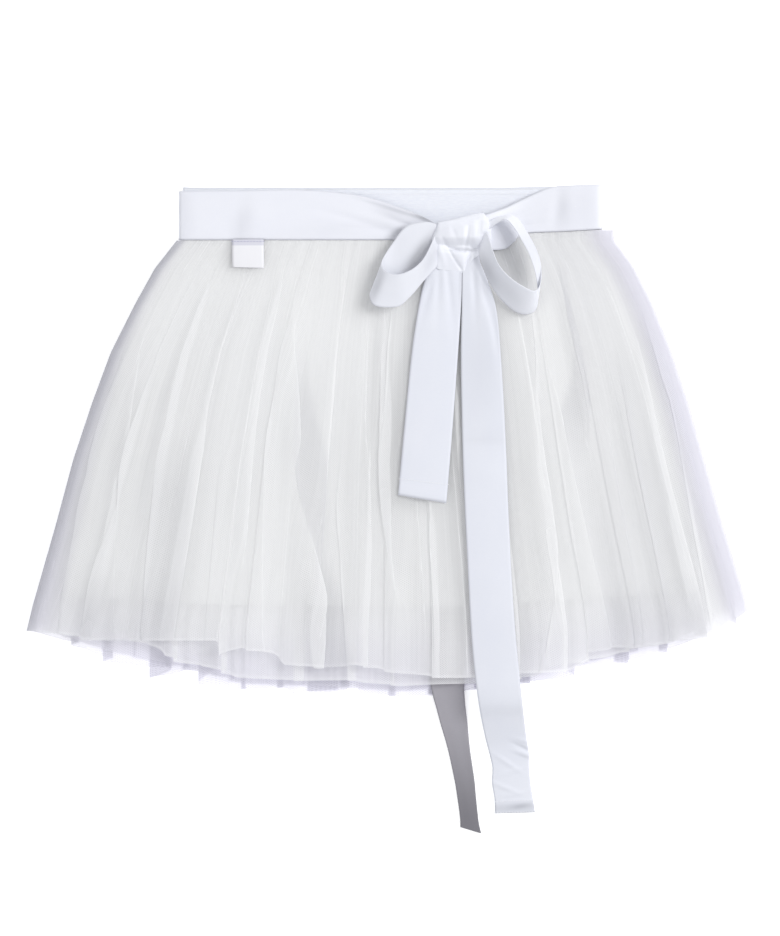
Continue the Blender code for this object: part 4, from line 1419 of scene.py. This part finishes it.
def band_rings(count):
    """Rings of the waistband from its seam up; the front dips behind the bow."""
    sections = [*reversed(SASH_FRONT_LEFT), *reversed(SASH_FRONT_RIGHT)]
    front_x = [section.ax for section in sections]
    front_top = [section.ay + BAND_ABOVE_SASH for section in sections]
    xs = np.linspace(front_x[1], front_x[-2], BAND_COLUMNS)
    height = BAND_FRONT_LEVEL - BAND_BACK_LEVEL
    rings = []
    for share in np.linspace(0.0, 1.0, count):
        points = []
        for edge, side in ((BAND_LEFT, -1), (BAND_RIGHT, 1)):
            on_front = side == -1
            y = seam_at(edge) + share * (BAND_TOP - seam_at(edge))
            turns = [
                (edge - side * turn.inwards / 2, y, BAND_BACK_LEVEL + turn.up * height)
                for turn in SIDE_TURN
            ]
            points += turns if on_front else reversed(turns)
            for x in xs if on_front else reversed(xs):
                high = float(np.interp(x, front_x, front_top)) if on_front else BAND_TOP
                high = min(high, BAND_TOP)
                level = BAND_FRONT_LEVEL if on_front else BAND_BACK_LEVEL
                points.append((x, seam_at(x) + share * (high - seam_at(x)), level))
        rings.append(points)
    return np.array(rings)


def add_band():
    """The waistband, a tube of ribbed elastic."""
    points = band_rings(BAND_ROWS)
    up = np.linspace(0.0, BAND_TOP - SEAM_Y, BAND_ROWS)[:, None] * MM
    around = np.linspace(0.0, BAND_LENGTH, points.shape[1] + 1)[None, :]
    return thicken(grid_object("waist_band", points, True, up, around, band_material()), BAND_WALL)


def lying_points(table, extra_rows, spans, dents, belly):
    """Points of a ribbon end on the cloth, a little higher or lower along its middle."""
    points = ribbon_points(smooth_rows(resting_sections(table), extra_rows), spans)
    across = np.linspace(-1.0, 1.0, spans + 1)[None, :]
    points[..., 2] += belly * (1 - across**2)
    return press(points, dents)


def fold_hem(points, count):
    """The last rows lie on a turned-up hem, so they stand a little higher."""
    points[-count:, :, 2] += HEM_RISE
    points[-1, :, 2] -= HEM_RISE * 0.8
    return points


def add_ribbon(name, points, material, spots):
    """A ribbon over a grid of points, with its edges and its painted shade marked."""
    along, widths = lengths_of(points)
    columns = points.shape[1]
    across = np.linspace(0.0, float(widths.max()), columns)[None, :]
    edges = np.zeros(points.shape[:2])
    edges[:, [0, -1]] = 1.0
    marks = {"edge": edges, "painted_shade": darkness(points, spots)}
    obj = grid_object(name, points, False, across, along[:, None], material, marks)
    area = float(np.sum((widths[1:] + widths[:-1]) / 2 * np.diff(along)))
    return thicken(obj, RIBBON_THICKNESS), (float(widths.max()), float(along[-1]), area)


def add_label():
    """The blank label that hangs from the waist seam, and the points that it follows."""
    points = lying_points(LABEL, 9, 12, NO_DENTS, 0.25)
    across = np.linspace(0.0, LABEL_SIZE[0], points.shape[1])[None, :]
    along = lengths_of(points)[0][:, None]
    made = grid_object("blank_label", points, False, across, along, label_material())
    return thicken(made, LABEL_THICKNESS), points


def close_ends(obj, ends):
    """Adds end faces to a tube and turns all faces outwards."""
    shape = bmesh.new()
    shape.from_mesh(obj.data)
    shape.verts.ensure_lookup_table()
    for end in ends:
        made = shape.faces.new([shape.verts[index] for index in end])
        made.smooth = True
    bmesh.ops.recalc_face_normals(shape, faces=shape.faces)
    shape.to_mesh(obj.data)
    shape.free()
    return obj


def add_knot(material):
    """The wrapped knot: a crown of ribbon pulled into folds, closed underneath."""
    x = np.linspace(KNOT[0].x, KNOT[-1].x, KNOT_COLUMNS)[None, :]
    share = np.linspace(0.0, 1.0, KNOT_ROWS)[:, None]
    low, high, crown = (read(KNOT, "x", column, x) for column in ("y_low", "y_high", "crown"))
    y = high - share * (high - low)
    x = x + 0 * y
    rise = np.sqrt(np.clip(1 - (1 - np.clip(share / CROWN_TURN, 0.0, 1.0)) ** 2, 0.0, 1.0))
    body = (crown - KNOT_BASE) * rise * (1 - ease((CROWN_END - y) / CROWN_FADE))
    side = ease((x - FLAP_SIDES[0]) / FLAP_FADES[0]) * ease((FLAP_SIDES[1] - x) / FLAP_FADES[1])
    flap = FLAP_RISE * side * np.clip((y - low) / FLAP_FADES[2], 0.0, 1.0)
    z = KNOT_BASE + np.maximum(body, flap)
    for crease in KNOT_CREASES:
        start = np.array((crease.ax, crease.ay))
        way = np.array((crease.bx, crease.by)) - start
        reach = float(way @ way)
        t = np.clip(((x - start[0]) * way[0] + (y - start[1]) * way[1]) / reach, 0.0, 1.0)
        gap = (x - start[0] - t * way[0]) ** 2 + (y - start[1] - t * way[1]) ** 2
        ends = 0.35 + 0.65 * np.sin(math.pi * np.clip(t, 0.04, 0.96))
        z = z + crease.height * ends * np.exp(-gap / crease.wide**2) * rise
    z = np.maximum(z, KNOT_BASE + 0.1)
    crown_points = np.stack([x, y, z], axis=2)
    under = crown_points[::-1].copy()
    under[..., 2] = KNOT_BASE - 0.4
    points = np.concatenate([crown_points, under], axis=0).transpose(1, 0, 2)[::-1]
    length, around = points.shape[:2]
    across = np.linspace(0.0, KNOT_CUT[0], around + 1)[None, :]
    along = np.linspace(0.0, KNOT_CUT[1], length)[:, None]
    marks = {"edge": np.zeros(points.shape[:2]), "painted_shade": darkness(points, KNOT_SPOTS)}
    obj = grid_object("wrapped_knot", points, True, across, along, material, marks)
    last = (length - 1) * around
    return close_ends(obj, [range(around), range(last + around - 1, last - 1, -1)])


def add_camera():
    """The camera over the middle of the photo's frame, looking straight down."""
    data = bpy.data.cameras.new("camera")
    data.lens = LENS
    data.sensor_width = SENSOR
    data.clip_end = 20.0
    camera = put("camera", data)
    height = VIEW_HEIGHT / SENSOR * LENS + VIEW_LEVEL
    camera.location = (VIEW_CENTRE_X * MM, VIEW_CENTRE_Y * MM, height * MM)
    bpy.context.scene.camera = camera


def add_light(name, place, size, power):
    """A square soft light that faces the skirt."""
    data = bpy.data.lights.new(name, "AREA")
    data.size = size
    data.energy = power
    lamp = put(name, data)
    lamp.location = place
    x, y, z = place
    lamp.rotation_euler = (math.atan2(math.hypot(x, y), z), 0.0, math.atan2(x, -y))


def add_studio():
    """A pale floor, a soft sky and a key light from the right."""
    scene = bpy.context.scene
    scene.world = bpy.data.worlds.new("studio")
    scene.world.use_nodes = True
    sky = scene.world.node_tree.nodes["Background"]
    set_inputs(sky, {"Color": SKY_COLOUR, "Strength": SKY_STRENGTH})
    add_light("key_light", (2.6, 1.2, 2.6), 1.7, KEY_POWER)
    add_light("fill_light", (-1.6, -0.6, 2.2), 2.0, FILL_POWER)
    mesh = bpy.data.meshes.new("floor")
    signs = ((-1, -1), (1, -1), (1, 1), (-1, 1))
    corners = [(x * FLOOR_HALF, y * FLOOR_HALF, FLOOR_DROP) for x, y in signs]
    mesh.from_pydata(corners, [], [(0, 1, 2, 3)])
    mesh.materials.append(floor_material())
    put("floor", mesh)
    scene.view_settings.view_transform = "Standard"
    scene.cycles.transparent_max_bounces = NET_BOUNCES


def declare(piece, slot, *nodes):
    """The piece rides on the part's one body and stands for nodes; the slot is not used."""
    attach(piece, "root")
    if nodes:
        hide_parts(*nodes)


def add_stitches(name, paths, spacing, length, thread, slot):
    """One run of stitches that rides with the skirt."""
    declare(stitch_run(name, paths, stitches, spacing, length, thread), slot)

add_camera()
add_studio()

# The sash, the bow and its ends are one ribbon, painted in three brightnesses for the light on each:
# the bow lightest, the sash a little darker, and the ends darker still as painted shade
waist_ribbon = ribbon_material("waist_ribbon", (0.853, 0.863, 0.92), (0.803, 0.815, 0.885))
bow_ribbon = ribbon_material("bow_ribbon", (0.868, 0.882, 0.94), (0.818, 0.832, 0.90))
end_ribbon = ribbon_material("end_ribbon", (0.785, 0.80, 0.86), (0.735, 0.755, 0.833))
# The tie under the skirt is a ribbon like the others, painted grey as painted shade where the skirt
# shadows it
grey_ribbon = ribbon_material("grey_ribbon", (0.412, 0.397, 0.431), (0.338, 0.328, 0.367))
white_thread = thread_material("white_thread", (0.96, 0.965, 0.99))
blue_thread = thread_material("label_thread", (0.50, 0.50, 0.66))
stitches = stitch_tree()

outer = add_layer(TULLE_OUTER, net_material("outer_net", 0.48, 1.0))
declare(outer, "tulle", "tulle_outer")
under = add_layer(TULLE_UNDER, net_material("under_net", 0.50, 9.0))
declare(under, "tulle", "tulle_under")
lining = add_layer(LINING, lining_material())
declare(lining, "lining", "lining")
band = add_band()
declare(band, "waistband", "waistband")

sash_sections = [*smooth_rows(SASH_FRONT_LEFT, 8), *SASH_BACK, *smooth_rows(SASH_FRONT_RIGHT, 8)]
sash_points = press(ribbon_points(np.array(sash_sections), 20), SASH_DENTS)
left_points = ribbon_points(smooth_rows(LOOP_LEFT, 9), 18)
right_points = ribbon_points(smooth_rows(LOOP_RIGHT, 9), 18)
short_points = fold_hem(lying_points(TAIL_SHORT, 11, 20, TAIL_SHORT_DENTS, 0.5), 3)
long_points = fold_hem(lying_points(TAIL_LONG, 9, 20, TAIL_LONG_DENTS, 0.5), 10)
tie_points = lying_points(TIE_UNDER, 9, 14, TIE_DENTS, 0.0)
for name, slot, node, points, material, spots, ground in (
    ("ribbon_sash", "ribbon", "sash", sash_points, waist_ribbon, SASH_SPOTS, band),
    ("bow_loop_left", "ribbon", "loop_left", left_points, bow_ribbon, LOOP_LEFT_SPOTS, outer),
    ("bow_loop_right", "ribbon", "loop_right", right_points, bow_ribbon, LOOP_RIGHT_SPOTS, outer),
    ("tail_short_ribbon", "ribbon", "tail_short", short_points, end_ribbon, SHORT_SPOTS, outer),
    ("tail_long_ribbon", "ribbon", "tail_long", long_points, end_ribbon, LONG_SPOTS, outer),
    ("shadow_grey_tie", "grey_ribbon", "tie_under", tie_points, grey_ribbon, TIE_SPOTS, under),
):
    piece, cut = add_ribbon(name, points, material, spots)
    declare(piece, slot, node)
declare(add_knot(bow_ribbon), "ribbon", "knot")
label, label_points = add_label()
declare(label, "label", "label")

short_line, *long_lines, label_line = (
    points[row] + (0.0, 0.0, THREAD_LIFT)
    for points, row in ((short_points, -5), (long_points, -10), (long_points, -2), (label_points, 2))
)
band_lines = [
    [(x, BAND_TOP - drop, BAND_STITCH_LEVEL) for x in np.linspace(*BAND_STITCHED, 40)]
    for drop in BAND_STITCH_DROPS
]
band_lines += [
    [(x - 2.2, y + 2.6, z), (x - 0.6, y, z), (x + 1.8, y + 0.9, z)] for x, y, z in TACKS
]
add_stitches("short_tail_stitches", [short_line], 2.4, 1.7, white_thread, "ribbon")
add_stitches("long_tail_stitches", long_lines, 2.2, 1.6, white_thread, "ribbon")
add_stitches("band_stitches", band_lines, 2.0, 1.5, white_thread, "waistband")
add_stitches("label_stitches", [label_line], 2.6, 1.9, blue_thread, "label")
